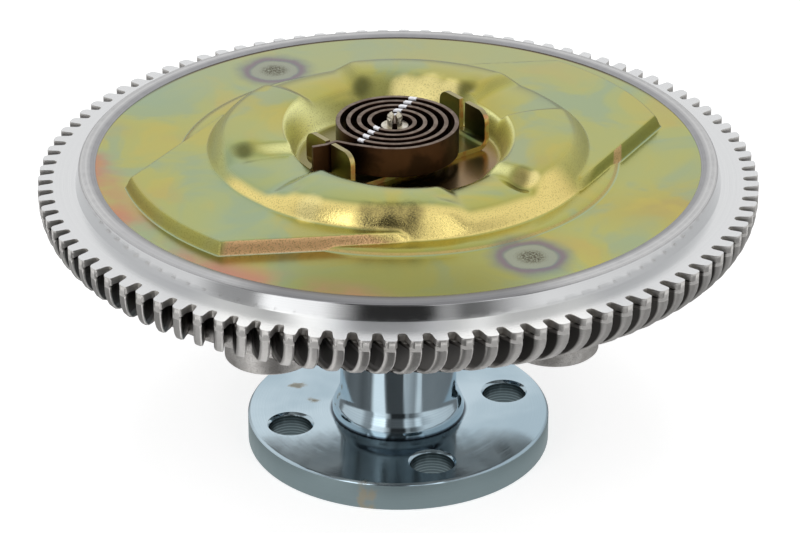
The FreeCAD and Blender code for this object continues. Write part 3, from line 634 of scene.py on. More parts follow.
@dataclass(frozen=True, kw_only=True)
class HousingAluminium(Finish):
    """One casting with a turned rim: cast skin on the fins, tool marks and polish on the ring."""

    name: str = "housing_aluminium"
    bump: float = 0.3
    fin_top_z: float = 0.0966
    fin_drop: float = 0.0121
    fin_back_r: float = 0.107
    fin_reach: float = 0.014

    def look(self, canvas: Canvas) -> Look:
        """Lay the turned and polished parts over the cast skin.

        Args:
            canvas: The material's wiring.

        Returns:
            Colour, roughness and relief.
        """
        lines = canvas.turning(5200.0)
        grain = canvas.grain(2600.0)
        cloud = canvas.film(70.0, 0.2)
        top = canvas.up.step(0.8, 0.95) * canvas.height.step(0.1005, 0.1013)
        ring = canvas.radius.fall(0.1090, 0.1094) * canvas.height.step(0.1010, 0.1014)
        turned = canvas.math("MAXIMUM", top, ring)
        lip = canvas.height.step(0.1063, 0.1067) * turned
        # Painted highlight: near-white glare on the rim's top in front, either side of the centre line.
        ahead = canvas.y.fall(-0.095, -0.08)
        off_centre = abs(canvas.x + 0.0035).step(0.012, 0.026)
        glare = ahead * off_centre * abs(canvas.x).fall(0.05, 0.07)
        bright = canvas.mix(lines.tone * 0.2, "DCDDDE", "C4C5C8")
        bright = canvas.mix(glare * top, bright, "FFFFFD")
        bright = canvas.mix(lip, bright, self.rolled_lip(canvas, ahead, lines.tone * cloud.streak))
        colour = canvas.mix(turned, self.cast_skin(canvas, grain, cloud), bright)
        wall = turned * canvas.up.fall(0.45, 0.75)
        satin = canvas.blend(wall, canvas.blend(lip, 0.22, 0.36), 0.09)
        relief = canvas.blend(turned, grain.height, lines.height * 0.2)
        return Look(colour, canvas.blend(turned, 0.48, satin), relief)

    @staticmethod
    def rolled_lip(canvas: Canvas, ahead: Field, marks: Field) -> Field:
        """Colour the lip that is rolled over the cover: darker in front, paler at the left.

        Args:
            canvas: The material's wiring.
            ahead: Mask of the front.
            marks: How strongly the roller has marked each point.

        Returns:
            The colour.
        """
        rolled = canvas.mix(canvas.radius.step(0.1028, 0.1050), "A8A8AA", "D2D2D2")
        centre = canvas.x.step(-0.062, -0.035) * canvas.x.fall(0.03, 0.06)
        rolled = canvas.mix(ahead * centre * 0.75, rolled, "6C6C70")
        left = canvas.x.fall(-0.06, -0.05) * canvas.y.fall(-0.06, -0.045)
        rolled = canvas.mix(left * 0.5, rolled, "B4B4B7")
        return canvas.mix(marks * canvas.blend(left, 0.7, 0.4), rolled, "78787C")

    def cast_skin(self, canvas: Canvas, grain: SimpleNamespace, cloud: SimpleNamespace) -> Field:
        """Colour the cast skin: the fins' fronts painted pale as lit faces, pale at the notches' ends, and
        painted shade between the fins.

        Args:
            canvas: The material's wiring.
            grain: Fine grain of the casting.
            cloud: Cloudy tone of the casting.

        Returns:
            The colour.
        """
        cast = canvas.mix(cloud.cloud.step(0.35, 0.65), "C2BFBC", "DAD8D5")
        cast = canvas.mix(cloud.streak.step(0.45, 0.7) * 0.45, cast, "A09C98")
        cast = canvas.mix(grain.hollow * 0.4, cast, "706C68")
        # Painted light: the fins' outer fronts are lifted pale.
        cast = canvas.mix(canvas.radius.step(0.113, 0.118) * 0.6, cast, "F6F4F1")
        # Painted shade between the fins.
        cast = canvas.mix(self.gaps(canvas), cast, "3E3B38")
        end = canvas.height.step(0.0988, 0.0991) * canvas.radius.fall(0.1172, 0.1182)
        return canvas.mix(end * 0.7, cast, "D8D5D0")

    def gaps(self, canvas: Canvas) -> Field:
        """Mask of the painted shade that lies behind the curved fronts of the fins.

        Args:
            canvas: The material's wiring.

        Returns:
            The mask.
        """
        drop = canvas.math("MAXIMUM", (self.fin_top_z - canvas.height) / self.fin_drop, 0.0)
        drop = canvas.math("MINIMUM", drop, 1.0)
        bend = canvas.math("SQRT", 1.0 - drop * drop)
        behind = (self.fin_back_r + bend * self.fin_reach - canvas.radius).step(0.0008, 0.0015)
        under = canvas.height.fall(0.0991, 0.0994) * canvas.height.step(0.0860, 0.0885)
        return behind * under * 0.95


@dataclass(frozen=True, kw_only=True)
class BlueZinc(Finish):
    """Bright zinc on the turned drive flange and shaft, with a few brown stains."""

    name: str = "blue_zinc"
    bump: float = 0.045
    bump_distance: float = 0.0001
    thread_pitch: float = 0.0011
    stains: tuple[Spot, ...] = (
        (-0.0355, 0.0165, 0.0048), (-0.0296, 0.0057, 0.0034), (-0.0108, -0.0524, 0.0052),
    )

    def look(self, canvas: Canvas) -> Look:
        """Paint the mirror-bright zinc, its dull side, painted shade at the shaft's foot and in the threaded
        bores, and the stains.

        Args:
            canvas: The material's wiring.

        Returns:
            Colour, roughness and relief.
        """
        film = canvas.film(30.0, 0.3)
        lines = canvas.turning(4200.0)
        colour = canvas.mix(film.cloud.step(0.35, 0.7), "BED0DA", "A3B8C4")
        colour = canvas.mix(lines.tone * 0.2, colour, "8CA3B0")
        side = canvas.up.fall(0.2, 0.6) * canvas.radius.step(0.051, 0.052)
        colour = canvas.mix(side * 0.85, colour, "8A9A9C")
        # Painted shade: dark blue band where the shaft meets the flange.
        foot = canvas.radius.fall(0.0232, 0.0242) * canvas.height.fall(0.0102, 0.0112)
        colour = canvas.mix(foot * 0.85, colour, "24303E")
        ringed = canvas.radius.step(0.030, 0.0312) * canvas.radius.fall(0.0468, 0.048)
        # Painted shade inside the bolt holes, striped along the real threads.
        shaded_bore = ringed * canvas.up.fall(0.3, 0.6)
        wave = canvas.math("SINE", canvas.height * (2.0 * math.pi / self.thread_pitch))
        colour = canvas.mix(shaded_bore * 0.85, colour, canvas.mix(wave.step(0.2, 0.9), "34403F", "66767A"))
        flat = canvas.up.step(0.8, 0.95) * canvas.height.fall(0.0105, 0.012)
        rough = canvas.blend(flat, canvas.blend(film.streak, 0.05, 0.11), 0.06)
        rough = canvas.blend(shaded_bore, rough, 0.35)
        rough = canvas.blend(side, rough, 0.6)
        for x, y, size in self.stains:
            spot = canvas.spot(x, y, 1.4, 420.0)
            stain = spot.fall(size * 0.4, size * 0.8) * film.streak.step(0.4, 0.55)
            colour = canvas.mix(stain * 0.75, colour, "A39A84")
            rough = canvas.blend(stain, rough, 0.45)
        return Look(colour, rough, lines.height * canvas.blend(flat, 1.0, 3.0))


@dataclass(frozen=True, kw_only=True)
class Bimetal(Finish):
    """Heat-tinted strip: brown rolled faces, paler sheared edges and a painted witness line."""

    name: str = "bimetal"
    bump: float = 0.2
    bump_distance: float = 0.0001
    line_azimuth: float = 63.0
    line_offset: Span = (0.0046, 0.0005)
    line_edge: Span = (0.0011, 0.0014)
    line_sway: float = 0.0012

    def look(self, canvas: Canvas) -> Look:
        """Paint the strip and draw the line across its turns.

        Args:
            canvas: The material's wiring.

        Returns:
            Colour, roughness, relief and where the paint isn't metal.
        """
        film = canvas.film(90.0, 0.2)
        side = canvas.mix(film.cloud.step(0.4, 0.6), "54382E", "382620")
        rim = canvas.mix(film.streak.step(0.4, 0.6), "85766A", "6E5E52")
        top = canvas.up.step(0.5, 0.9)
        angle = math.radians(self.line_azimuth)
        offset_x, offset_y = self.line_offset
        across = (canvas.x + offset_x) * math.sin(angle) - (canvas.y - offset_y) * math.cos(angle)
        line = abs(across + (film.streak - 0.5) * self.line_sway).fall(*self.line_edge)
        paint = line * canvas.height.step(0.1188, 0.1194) * canvas.radius.step(0.0045, 0.0055)
        paint = paint * canvas.y.step(-0.0168, -0.0164)
        colour = canvas.mix(paint, canvas.mix(top, side, rim), "E6E7EC")
        rough = canvas.blend(paint, canvas.blend(top, 0.42, 0.38), 0.6)
        return Look(colour, rough, canvas.grain(2200.0).height, 1.0 - paint)


@dataclass(frozen=True, kw_only=True)
class StrapZinc(Finish):
    """Olive passivated strap with coppery sheared edges."""

    name: str = "strap_zinc"
    bump: float = 0.15
    bump_distance: float = 0.0001
    azimuth: float = 37.0

    def look(self, canvas: Canvas) -> Look:
        """Paint the strap's faces, its cut edges and the worn tops of its ears.

        Args:
            canvas: The material's wiring.

        Returns:
            Colour, roughness and relief.
        """
        given = {0: canvas.coordinate("Normal"), 1: polar(1.0, self.azimuth - 90.0)}
        across = canvas.field("ShaderNodeVectorMath", given, "Value", operation="DOT_PRODUCT")
        edge = abs(across).step(0.5, 0.85)
        crest = canvas.up.step(0.5, 0.85) * canvas.height.step(0.1172, 0.1185)
        film = canvas.film(55.0, 0.4)
        face = canvas.ramp(film.cloud, ((0.3, "5F7048"), (0.5, "7F7C46"), (0.7, "8B6F52")))
        cut = canvas.mix(film.streak.step(0.4, 0.6), "D8A070", "DCCF8C")
        colour = canvas.mix(crest, canvas.mix(edge, face, cut), "A39A72")
        return Look(colour, canvas.blend(edge, 0.3, 0.45), canvas.grain(1400.0).height)


@dataclass(frozen=True, kw_only=True)
class PlainMetal(Finish):
    """Metal or rubber of one colour family, cloudy in tone, with a fine grain or tool lines."""

    light: str
    dark: str
    smooth: float
    dull: float
    turned: bool = False
    metallic: float = 1.0

    def look(self, canvas: Canvas) -> Look:
        """Mix both tones over a grain or tool lines.

        Args:
            canvas: The material's wiring.

        Returns:
            Colour, roughness and relief.
        """
        film = canvas.film(70.0, 0.3)
        grain = canvas.grain(1300.0)
        colour = canvas.mix(film.cloud.step(0.38, 0.62), self.light, self.dark)
        colour = canvas.mix(grain.hollow * 0.25, colour, "3A3632")
        rough = canvas.blend(film.streak, self.smooth, self.dull)
        return Look(colour, rough, (canvas.turning(5000.0) if self.turned else grain).height, self.metallic)


FINISHES = (
    YellowZinc(),
    HousingAluminium(),
    BlueZinc(),
    Bimetal(),
    StrapZinc(),
    PlainMetal(name="pin_steel", bump=0.4, light="F0EDE4", dark="CFC7B4", smooth=0.22, dull=0.4),
    PlainMetal(name="bush_brass", bump=0.2, light="B99B58", dark="8E7440", smooth=0.25, dull=0.45),
    PlainMetal(
        name="bearing_steel", bump=0.05, light="C9CACD", dark="B4B6BA", smooth=0.12, dull=0.22, turned=True,
    ),
    PlainMetal(name="spring_steel", bump=0.1, light="55565C", dark="3C3D42", smooth=0.3, dull=0.5),
    PlainMetal(
        name="turned_aluminium", bump=0.1, light="D2D2D4", dark="BBBBBE", smooth=0.25, dull=0.4, turned=True,
    ),
    PlainMetal(name="plate_steel", bump=0.1, light="B0B0AC", dark="989890", smooth=0.3, dull=0.45),
    PlainMetal(
        name="seal_rubber", bump=0.2, light="1C1C1D", dark="121213", smooth=0.5, dull=0.7, metallic=0.0,
    ),
)


def modify(piece: Object, name: str, kind: str, **settings: object) -> None:
    """Add a modifier and set its properties.

    Args:
        piece: The object.
        name: The modifier's name.
        kind: Blender's name of its type.
        settings: Its properties.
    """
    made = piece.modifiers.new(name, kind)
    for label, value in settings.items():
        setattr(made, label, value)


def dress(node: Object, material: Material, edge: Edge) -> None:
    """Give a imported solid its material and, where it shows, softened edges.

    Args:
        node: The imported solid.
        material: Its finish.
        edge: How soft its edges are.
    """
    node.data.materials.clear()
    node.data.materials.append(material)
    width, segments = edge.value
    if segments:
        modify(node, "join", "WELD", merge_threshold=0.002 * MM)
        modify(
            node, "soft_edges", "BEVEL", width=width * MM, segments=segments, limit_method="ANGLE",
            angle_limit=math.radians(28.0), harden_normals=True, use_clamp_overlap=True,
        )


def finished(name: str, mesh: Shape, material: Material, body: Body) -> Object:
    """Turn a shape into a piece of the object.

    Args:
        name: The piece's name.
        mesh: Its shape, in millimetres and in place.
        material: Its finish.
        body: The body it moves with.

    Returns:
        The new object.
    """
    bmesh.ops.scale(mesh, verts=mesh.verts, vec=(MM, MM, MM))
    bmesh.ops.recalc_face_normals(mesh, faces=mesh.faces)
    data = bpy.data.meshes.new(name)
    mesh.to_mesh(data)
    mesh.free()
    piece = bpy.data.objects.new(name, data)
    bpy.context.scene.collection.objects.link(piece)
    data.materials.append(material)
    data.shade_smooth()
    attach(piece, body.value)
    LOG.info("%s: %d faces on %s", name, len(data.polygons), body.value)
    return piece


def swept(mesh: Shape, geometry: list, centre: Vector, angle: float, steps: int, merge: bool = False) -> list:
    """Spin geometry about an upright line.

    Args:
        mesh: The mesh that grows.
        geometry: The vertices and edges to spin.
        centre: Foot of the axis.
        angle: How far, in radians.
        steps: Number of steps.
        merge: Whether the last step meets the first.

    Returns:
        The last step's vertices and edges.
    """
    return bmesh.ops.spin(
        mesh, geom=geometry, cent=centre, axis=UP, dvec=(0, 0, 0), angle=angle, space=Matrix.Identity(4),
        steps=steps, use_merge=merge, use_normal_flip=False, use_duplicate=False,
    )["geom_last"]


@dataclass
class PressedCover:
    """Pressed steel cover: terrace, two drafted leaves, the lobed ring and the bowl round the coil."""

    rim_r: float = 105.5
    eye_r: float = 6.05
    sheet: float = 2.0
    terrace_h: float = 1.5
    terrace_r: float = 74.3
    leaf_h: float = 4.5
    leaf_tangent_r: float = 67.0
    leaf_arc_r: float = 93.2
    leaf_draft: float = 1.9
    leaf_edge: float = 0.7
    leaf_corners: Span = (-127.6, -165.1)
    ring_h: float = 11.7
    ring_foot_r: float = 66.8
    ring_top_r: float = 59.4
    bowl_foot_r: float = 34.5
    bowl_long_r: float = 44.5
    bowl_short_r: float = 37.5
    bowl_azimuth: float = 105.0
    dent_h: float = 8.6
    dent_azimuth: float = -56.0
    dent_floor: float = 11.0
    dent_top: float = 19.0
    crown_dome: float = 0.9
    pinches: tuple[Spot, ...] = (
        (53.5, -162.5, 2.2), (54.2, -42.7, 2.4), (42.0, 54.0, 1.8), (39.5, 108.5, 1.8),
        (56.6, -128.0, 1.4), (53.5, -74.0, 1.4),
    )
    pinch_along: float = 3.2
    pinch_across: float = 5.0
    ring_roll: float = 4.6
    foot_roll: float = 0.9
    terrace_draft: float = 1.6
    terrace_edge: float = 0.6
    leaf_fade: float = 7.0
    wall_cuts: tuple[float, ...] = (-0.7, -0.35, 0.0, 0.35, 0.8, 1.2, 1.6, 1.95, 2.3, 2.8)
    cut_reach: float = 2.5
    cut_inner_r: float = 56.0
    steps: int = 384

    def leaf_normals(self) -> list[float]:
        """Azimuths of the outward normals of a leaf's two straight walls."""
        reach = math.degrees(math.acos(self.leaf_tangent_r / self.leaf_arc_r))
        return [self.leaf_corners[0] + reach, self.leaf_corners[1] - reach]

    def leaf_height(self, x: float, y: float) -> float:
        """Height of the nearer leaf above the plate, in millimetres.

        Args:
            x: Place across, in millimetres.
            y: Place in depth, in millimetres.

        Returns:
            The height, 0 away from the leaves.
        """
        radius = math.hypot(x, y)
        first, second = (polar(1.0, azimuth) for azimuth in self.leaf_normals())
        middle = sum(self.leaf_corners) / 2.0
        spread = abs(self.leaf_normals()[0] - middle)
        azimuth = math.degrees(math.atan2(y, x)) - middle
        sign = 1.0 if abs((azimuth + 180.0) % 360.0 - 180.0) < 90.0 else -1.0
        away = abs((azimuth + (0.0 if sign > 0.0 else 180.0) + 180.0) % 360.0 - 180.0)
        low = self.leaf_tangent_r - sign * (x * first.x + y * first.y)
        high = self.leaf_tangent_r - sign * (x * second.x + y * second.y)
        inside = min(low, high, self.leaf_arc_r - radius)
        fade = 1.0 - ease(away, spread - self.leaf_fade, spread)
        return fade * self.eased_rise(inside, self.leaf_draft, self.leaf_h, self.leaf_edge)

    @staticmethod
    def eased_rise(distance: float, run: float, rise: float, radius: float) -> float:
        """Drafted wall with a rounded foot and shoulder."""
        wall = distance * rise / run
        return soft_max(0.0, soft_min(wall, rise, radius * 2.0), radius)

    def crown_height(self, azimuth: float) -> float:
        """Height of the ring's crown at an azimuth, with its four dents."""
        away = abs((azimuth - self.dent_azimuth + 45.0) % 90.0 - 45.0)
        return self.dent_h + (self.ring_h - self.dent_h) * ease(away, self.dent_floor, self.dent_top)

    def ring_height(self, radius: float, azimuth: float) -> float:
        """Height of the lobed ring between its outer wall and the bowl's wall.

        Args:
            radius: Distance from the axis, in millimetres.
            azimuth: Direction, in degrees.

        Returns:
            The height in millimetres.
        """
        crown = self.crown_height(azimuth)
        turn = math.radians(azimuth - self.bowl_azimuth)
        mouth = 1.0 / math.hypot(math.cos(turn) / self.bowl_long_r, math.sin(turn) / self.bowl_short_r)
        outer = (self.ring_foot_r - radius) * self.ring_h / (self.ring_foot_r - self.ring_top_r)
        inner = (radius - self.bowl_foot_r) * self.ring_h / (mouth - self.bowl_foot_r)
        middle = (self.ring_top_r + mouth) / 2.0
        dome = self.crown_dome * min(abs(radius - middle) / (self.ring_top_r - middle), 1.4) ** 2
        height = soft_min(soft_min(outer, crown - dome, self.ring_roll), inner, self.ring_roll)
        return soft_max(height - self.pinch_depth(radius, azimuth), 0.0, 1.0)

    def pinch_depth(self, radius: float, azimuth: float) -> float:
        """Depth of the small hollows that the press leaves at the ends of the lobes.

        Args:
            radius: Distance from the axis, in millimetres.
            azimuth: Direction, in degrees.

        Returns:
            The depth in millimetres.
        """
        depth = 0.0
        for place_r, place_azimuth, press in self.pinches:
            along = math.radians((azimuth - place_azimuth + 180.0) % 360.0 - 180.0) * place_r
            across = radius - place_r
            depth += press * math.exp(-((along / self.pinch_along) ** 2) - (across / self.pinch_across) ** 2)
        return depth

    def height(self, x: float, y: float) -> float:
        """Height of the sheet's outer face above the plate, in millimetres.

        Args:
            x: Place across, in millimetres.
            y: Place in depth, in millimetres.

        Returns:
            The height.
        """
        radius = math.hypot(x, y)
        ring = self.ring_height(radius, math.degrees(math.atan2(y, x)))
        if radius < self.bowl_foot_r + 5.0:
            return ring
        inside = self.terrace_r - radius
        terrace = self.eased_rise(inside, self.terrace_draft, self.terrace_h, self.terrace_edge)
        leaf = self.leaf_height(x, y)
        step = max(terrace, leaf) if leaf > 0.0 else terrace
        return soft_max(step, ring, self.foot_roll)

    def ring_radii(self) -> list[float]:
        """Radii of the mesh's rings, closer together where a wall is.

        Returns:
            The radii in millimetres, from the eye outwards.
        """
        spans = [
            (self.eye_r, 30.0, 8), (30.0, 46.0, 28), (46.0, 57.0, 9), (57.0, 68.0, 20),
            (68.0, 72.6, 3), (72.6, 74.8, 5), (74.8, 89.0, 8), (89.0, 94.4, 16), (94.4, self.rim_r - 0.5, 6),
        ]
        radii = [low + (high - low) * i / count for low, high, count in spans for i in range(count)]
        return radii + [self.rim_r - 0.5, self.rim_r]

    def build(self, finishes: dict[str, Material]) -> Object:
        """Spin a flat sheet, cut it along the leaves' walls and press the relief into it.

        Args:
            finishes: The clutch's materials.

        Returns:
            The cover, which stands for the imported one.
        """
        mesh = bmesh.new()
        line = [mesh.verts.new((radius, 0.0, 0.0)) for radius in self.ring_radii()]
        edges = [mesh.edges.new(pair) for pair in zip(line, line[1:])]
        swept(mesh, line + edges, Vector(), 2 * math.pi, self.steps, merge=True)
        for turn in (0.0, 180.0):
            for azimuth in self.leaf_normals():
                self.cut_along_wall(mesh, polar(1.0, azimuth + turn))
        for vertex in mesh.verts:
            vertex.co.z = PLATE_Z / MM + self.height(vertex.co.x, vertex.co.y)
        cover = finished("pressed_cover", mesh, finishes["yellow_zinc"], Body.HOUSING)
        modify(cover, "sheet", "SOLIDIFY", thickness=self.sheet * MM, offset=-1.0)
        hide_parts("cover_plate")
        return cover

    def cut_along_wall(self, mesh: Shape, normal: Vector) -> None:
        """Add edges along a leaf's straight wall, so that its foot and shoulder are crisp.

        Args:
            mesh: The sheet, still flat, in millimetres.
            normal: Outward plan normal of the wall.
        """
        for inset in self.wall_cuts:
            reach = self.leaf_tangent_r - inset
            near = [
                face for face in mesh.faces
                if abs(face.calc_center_median().dot(normal) - reach) < self.cut_reach
                and self.cut_inner_r < face.calc_center_median().length < self.leaf_arc_r + 1.0
            ]
            verts = dict.fromkeys(vertex for face in near for vertex in face.verts)
            around = dict.fromkeys(edge for face in near for edge in face.edges)
            bmesh.ops.bisect_plane(
                mesh, geom=[*verts, *around, *near], dist=0.02, plane_co=normal * reach, plane_no=normal,
            )


@dataclass
class FinnedHousing:
    """Turned and cast body: rolled lip, notched rim, swept fins and the pads for the fan."""

    fins: int = 96
    first_gap: float = -89.4
    rim_r: float = 121.0
    notch_r: float = 116.6
    notch_w: float = 3.0
    mouth_w: float = 4.5
    rim_top: float = 101.6
    rim_t: float = 2.6
    flange_in_r: float = 107.6
    corner_r: float = 0.95
    soft_edge: float = 0.25
    wall_r: float = 106.0
    root_r: float = 104.5
    gap_at_wall: float = 3.4
    sweep: float = 33.0
    fin_face: tuple[Span, ...] = (
        (99.0, 121.0), (96.6, 120.95), (94.4, 120.6), (92.2, 119.8), (90.0, 118.5),
        (88.0, 116.6), (86.3, 113.9), (85.1, 110.6), (84.5, 107.0),
    )
    section: tuple[Span, ...] = (
        (40.0, 56.0), (40.0, 58.6), (42.6, 58.6), (42.6, 61.0), (40.0, 61.0), (40.0, 84.0), (35.0, 84.0),
        (35.0, 87.0),
        (77.5, 87.0), (77.5, 91.0), (82.5, 91.0), (82.5, 87.0), (99.5, 87.0), (99.5, 102.5), (102.0, 102.5),
        (102.0, 104.4), (105.8, 104.4), (105.8, 106.4), (101.5, 106.4), (101.55, 106.75), (101.85, 107.0),
        (103.2, 107.2), (105.2, 107.3), (106.5, 107.2), (107.1, 106.8), (107.3, 106.3), (108.35, 101.6),
        (108.95, 98.9), (106.0, 98.9), (106.0, 83.6), (105.4, 83.0), (51.5, 83.0), (47.5, 69.0),
        (47.5, 56.0),
    )
    pads: int = 6
    pad_azimuth: float = 3.2
    pad_circle: float = 90.5
    pad_r: float = 14.5
    pad_low: float = 75.4
    pad_hole_r: float = 3.4
    pad_hole_top: float = 84.9
    pad_root_z: float = 84.0
    sharp_angle: float = 38.0
    merge_gap: float = 0.002

    def build(self, finishes: dict[str, Material]) -> Object:
        """Turn the blank, then set the teeth, fins and pads round it.

        Args:
            finishes: The clutch's materials.

        Returns:
            The housing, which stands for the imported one.
        """
        mesh = bmesh.new()
        self.spin(mesh, [Vector((radius, 0.0, z)) for radius, z in self.section], Vector(), 240, closed=True)
        for part, count, azimuth in (
            (self.tooth(), self.fins, self.first_gap),
            (self.fin(), self.fins, self.first_gap),
            (self.pad(), self.pads, self.pad_azimuth),
        ):
            for index in range(count):
                angle = math.radians(azimuth + index * 360.0 / count)
                self.append(mesh, part, Matrix.Rotation(angle, 4, "Z"))
            part.free()
        seam = self.rim_top - self.rim_t
        rim = [vertex for vertex in mesh.verts if vertex.co.z > seam - 0.05]
        bmesh.ops.remove_doubles(mesh, verts=rim, dist=self.merge_gap)
        self.weigh_edges(mesh)
        finish = finishes["housing_aluminium"]
        housing = finished("finned_housing", mesh, finish, Body.HOUSING)
        modify(housing, "soft_edges", "BEVEL", width=self.soft_edge * MM, segments=2, limit_method="WEIGHT")
        modify(housing, "flat_faces", "WEIGHTED_NORMAL", mode="FACE_AREA", keep_sharp=True)
        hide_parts("clutch_body")
        return housing

    def weigh_edges(self, mesh: Shape) -> None:
        """Mark the sharp edges to be softened, but not the seam between the teeth and the fins.

        Args:
            mesh: The housing, in millimetres.
        """
        mesh.normal_update()
        weight = mesh.edges.layers.float.new("bevel_weight_edge")
        seam = self.rim_top - self.rim_t
        sharp = math.radians(self.sharp_angle)
        for edge in mesh.edges:
            on_seam = all(abs(vertex.co.z - seam) < 0.01 for vertex in edge.verts)
            if not on_seam and len(edge.link_faces) == 2 and edge.calc_face_angle(0.0) > sharp:
                edge[weight] = 1.0

    @staticmethod
    def append(mesh: Shape, part: Shape, turn: Matrix) -> None:
        """Add a turned copy of a part.

        Args:
            mesh: The mesh that grows.
            part: The part to copy.
            turn: Where the copy goes.
        """
        copy = bpy.data.meshes.new("copy")
        part.to_mesh(copy)
        copy.transform(turn)
        mesh.from_mesh(copy)
        bpy.data.meshes.remove(copy)

    @staticmethod
    def spin(mesh: Shape, line: list[Vector], centre: Vector, steps: int, closed: bool) -> None:
        """Spin a profile a full turn about an upright line.

        Args:
            mesh: The mesh that grows.
            line: The profile's points.
            centre: Foot of the axis.
            steps: Number of steps in the turn.
            closed: Whether the profile returns to its first point.
        """
        verts = [mesh.verts.new(point) for point in line]
        pairs = list(zip(verts, verts[1:])) + ([(verts[-1], verts[0])] if closed else [])
        edges = [mesh.edges.new(pair) for pair in pairs]
        swept(mesh, verts + edges, centre, 2 * math.pi, steps, merge=True)

    def tooth(self) -> Shape:
        """One tooth of the rim flange, with the round ends of its notches.

        Returns:
            The tooth between the notch at azimuth 0 and the next.
        """
        pitch = 360.0 / self.fins
        half = self.notch_w / 2.0
        flare = self.mouth_w - self.notch_w
        turn = Matrix.Rotation(math.radians(pitch), 4, "Z")
        root = self.notch_r - 0.8
        inner = self.flange_in_r
        first_tip = polar(self.rim_r, self.gap_edges(self.rim_r)[1])
        last_tip = polar(self.rim_r, self.gap_edges(self.rim_r)[0] + pitch)
        plan = [
            Vector((inner, 0.0, 0.0)), Vector((root, 0.0, 0.0)), Vector((root + 0.15, half * 0.62, 0.0)),
            Vector((self.notch_r + 0.3, half, 0.0)), Vector((self.rim_r - 1.2, half + flare * 0.55, 0.0)),
            first_tip, last_tip, turn @ Vector((self.notch_r + 0.3, -half, 0.0)),
            turn @ Vector((root + 0.15, -half * 0.62, 0.0)), turn @ Vector((root, 0.0, 0.0)),
            turn @ Vector((inner, 0.0, 0.0)),
        ]
        mesh = bmesh.new()
        verts = [mesh.verts.new(point + UP * self.rim_top) for point in plan]
        top = mesh.faces.new(verts)
        made = bmesh.ops.extrude_face_region(mesh, geom=[top])["geom"]
        low = [item for item in made if isinstance(item, bmesh.types.BMVert)]
        bmesh.ops.translate(mesh, verts=low, vec=-UP * self.rim_t)
        self.round_corners(mesh, [edge for edge in mesh.edges if self.at_tip(edge)], self.corner_r)
        bmesh.ops.recalc_face_normals(mesh, faces=mesh.faces)
        joints = [
            face for face in mesh.faces
            if all(vertex.co.xy.length < root + 0.05 for vertex in face.verts)
            and abs(face.normal.z) < 0.5 and abs(face.normal.x) < 0.5
        ]
        bmesh.ops.delete(mesh, geom=joints, context="FACES_ONLY")
        return mesh

    def at_tip(self, edge: bmesh.types.BMEdge) -> bool:
        """Whether an edge runs down one of the two outer corners.

        Args:
            edge: An edge of a tooth.

        Returns:
            True at an outer corner.
        """
        first, last = edge.verts
        upright = abs(first.co.z - last.co.z) > 1.0
        return upright and min(first.co.xy.length, last.co.xy.length) > self.rim_r - 0.3

    @staticmethod
    def round_corners(mesh: Shape, edges: list, radius: float) -> None:
        """Round the outer corners of a tooth or a fin.

        Args:
            mesh: The tooth or fin.
            edges: Its corners.
            radius: Radius of the rounding, in millimetres.
        """
        bmesh.ops.bevel(
            mesh, geom=edges, offset=radius, offset_type="OFFSET", affect="EDGES", segments=4, profile=0.5,
            material=-1,
        )

    def gap_edges(self, radius: float) -> tuple[float, float]:
        """Azimuths of both walls of the swept gap that opens at azimuth 0.

        Args:
            radius: Distance from the axis, in millimetres.

        Returns:
            Both azimuths in degrees, the lower one first.
        """
        share = (self.rim_r - radius) / (self.rim_r - self.wall_r)
        width = self.mouth_w + (self.gap_at_wall - self.mouth_w) * share
        lean = math.tan(math.radians(self.sweep)) * math.log(self.rim_r / radius)
        low = -self.notch_w / 2.0 / self.rim_r - lean
        return math.degrees(low), math.degrees(low + width / radius)

    def fin(self) -> Shape:
        """One swept fin with its fingertip-shaped face.

        Returns:
            The fin between the gap at azimuth 0 and the next.
        """
        pitch = 360.0 / self.fins
        mesh = bmesh.new()
        radii = [self.root_r, 109.0, 113.5, 117.5]
        first_z, first_r = self.fin_face[0]

        def side(radius: float, far: bool) -> Vector:
            """Plan point on one wall of the fin."""
            low, high = self.gap_edges(radius)
            return polar(radius, low + pitch if far else high)

        plan = [side(radius, False) for radius in radii + [first_r]]
        plan += [side(radius, True) for radius in [first_r] + radii[::-1]]
        verts = [mesh.verts.new(point + UP * first_z) for point in plan]
        face = mesh.faces.new(verts)
        count = len(radii)
        for z, outer in self.fin_face[1:]:
            made = bmesh.ops.extrude_face_region(mesh, geom=[face])["geom"]
            face = [item for item in made if isinstance(item, bmesh.types.BMFace)][0]
            spread = [self.root_r + (outer - self.root_r) * i / count for i in range(count + 1)]
            targets = [side(radius, False) for radius in spread]
            targets += [side(radius, True) for radius in spread[::-1]]
            verts = self.matched(list(face.verts), verts[0])
            for vertex, target in zip(verts, targets):
                vertex.co = target + UP * z
        corners = []
        for edge in mesh.edges:
            first, last = edge.verts
            steep = abs(first.co.z - last.co.z) > 0.3
            outside = [link for link in edge.link_faces if self.is_face(link)]
            if steep and len(outside) == 1:
                corners.append(edge)
        self.round_corners(mesh, corners, self.corner_r)
        bmesh.ops.recalc_face_normals(mesh, faces=mesh.faces)
        return mesh

    def is_face(self, face: bmesh.types.BMFace) -> bool:
        """Whether a face of the fin is part of its outward face, not of a wall.

        Args:
            face: A face of the fin.

        Returns:
            True on the outward face.
        """
        rows: dict[float, list[float]] = {}
        for vertex in face.verts:
            rows.setdefault(round(vertex.co.z, 3), []).append(vertex.co.xy.length)
        level = all(max(row) - min(row) < 0.01 for row in rows.values())
        return len(rows) == 2 and level and min(map(min, rows.values())) > self.root_r + 1.0

    @staticmethod
    def matched(ring: list, start: bmesh.types.BMVert) -> list:
        """Vertices of an extruded face in the order of the outline that they came from.

        Args:
            ring: The new face's vertices.
            start: The first vertex of the last outline.

        Returns:
            The vertices, first the one above start.
        """
        place = ring.index(min(ring, key=lambda vertex: (vertex.co - start.co).length))
        return ring[place:] + ring[:place]

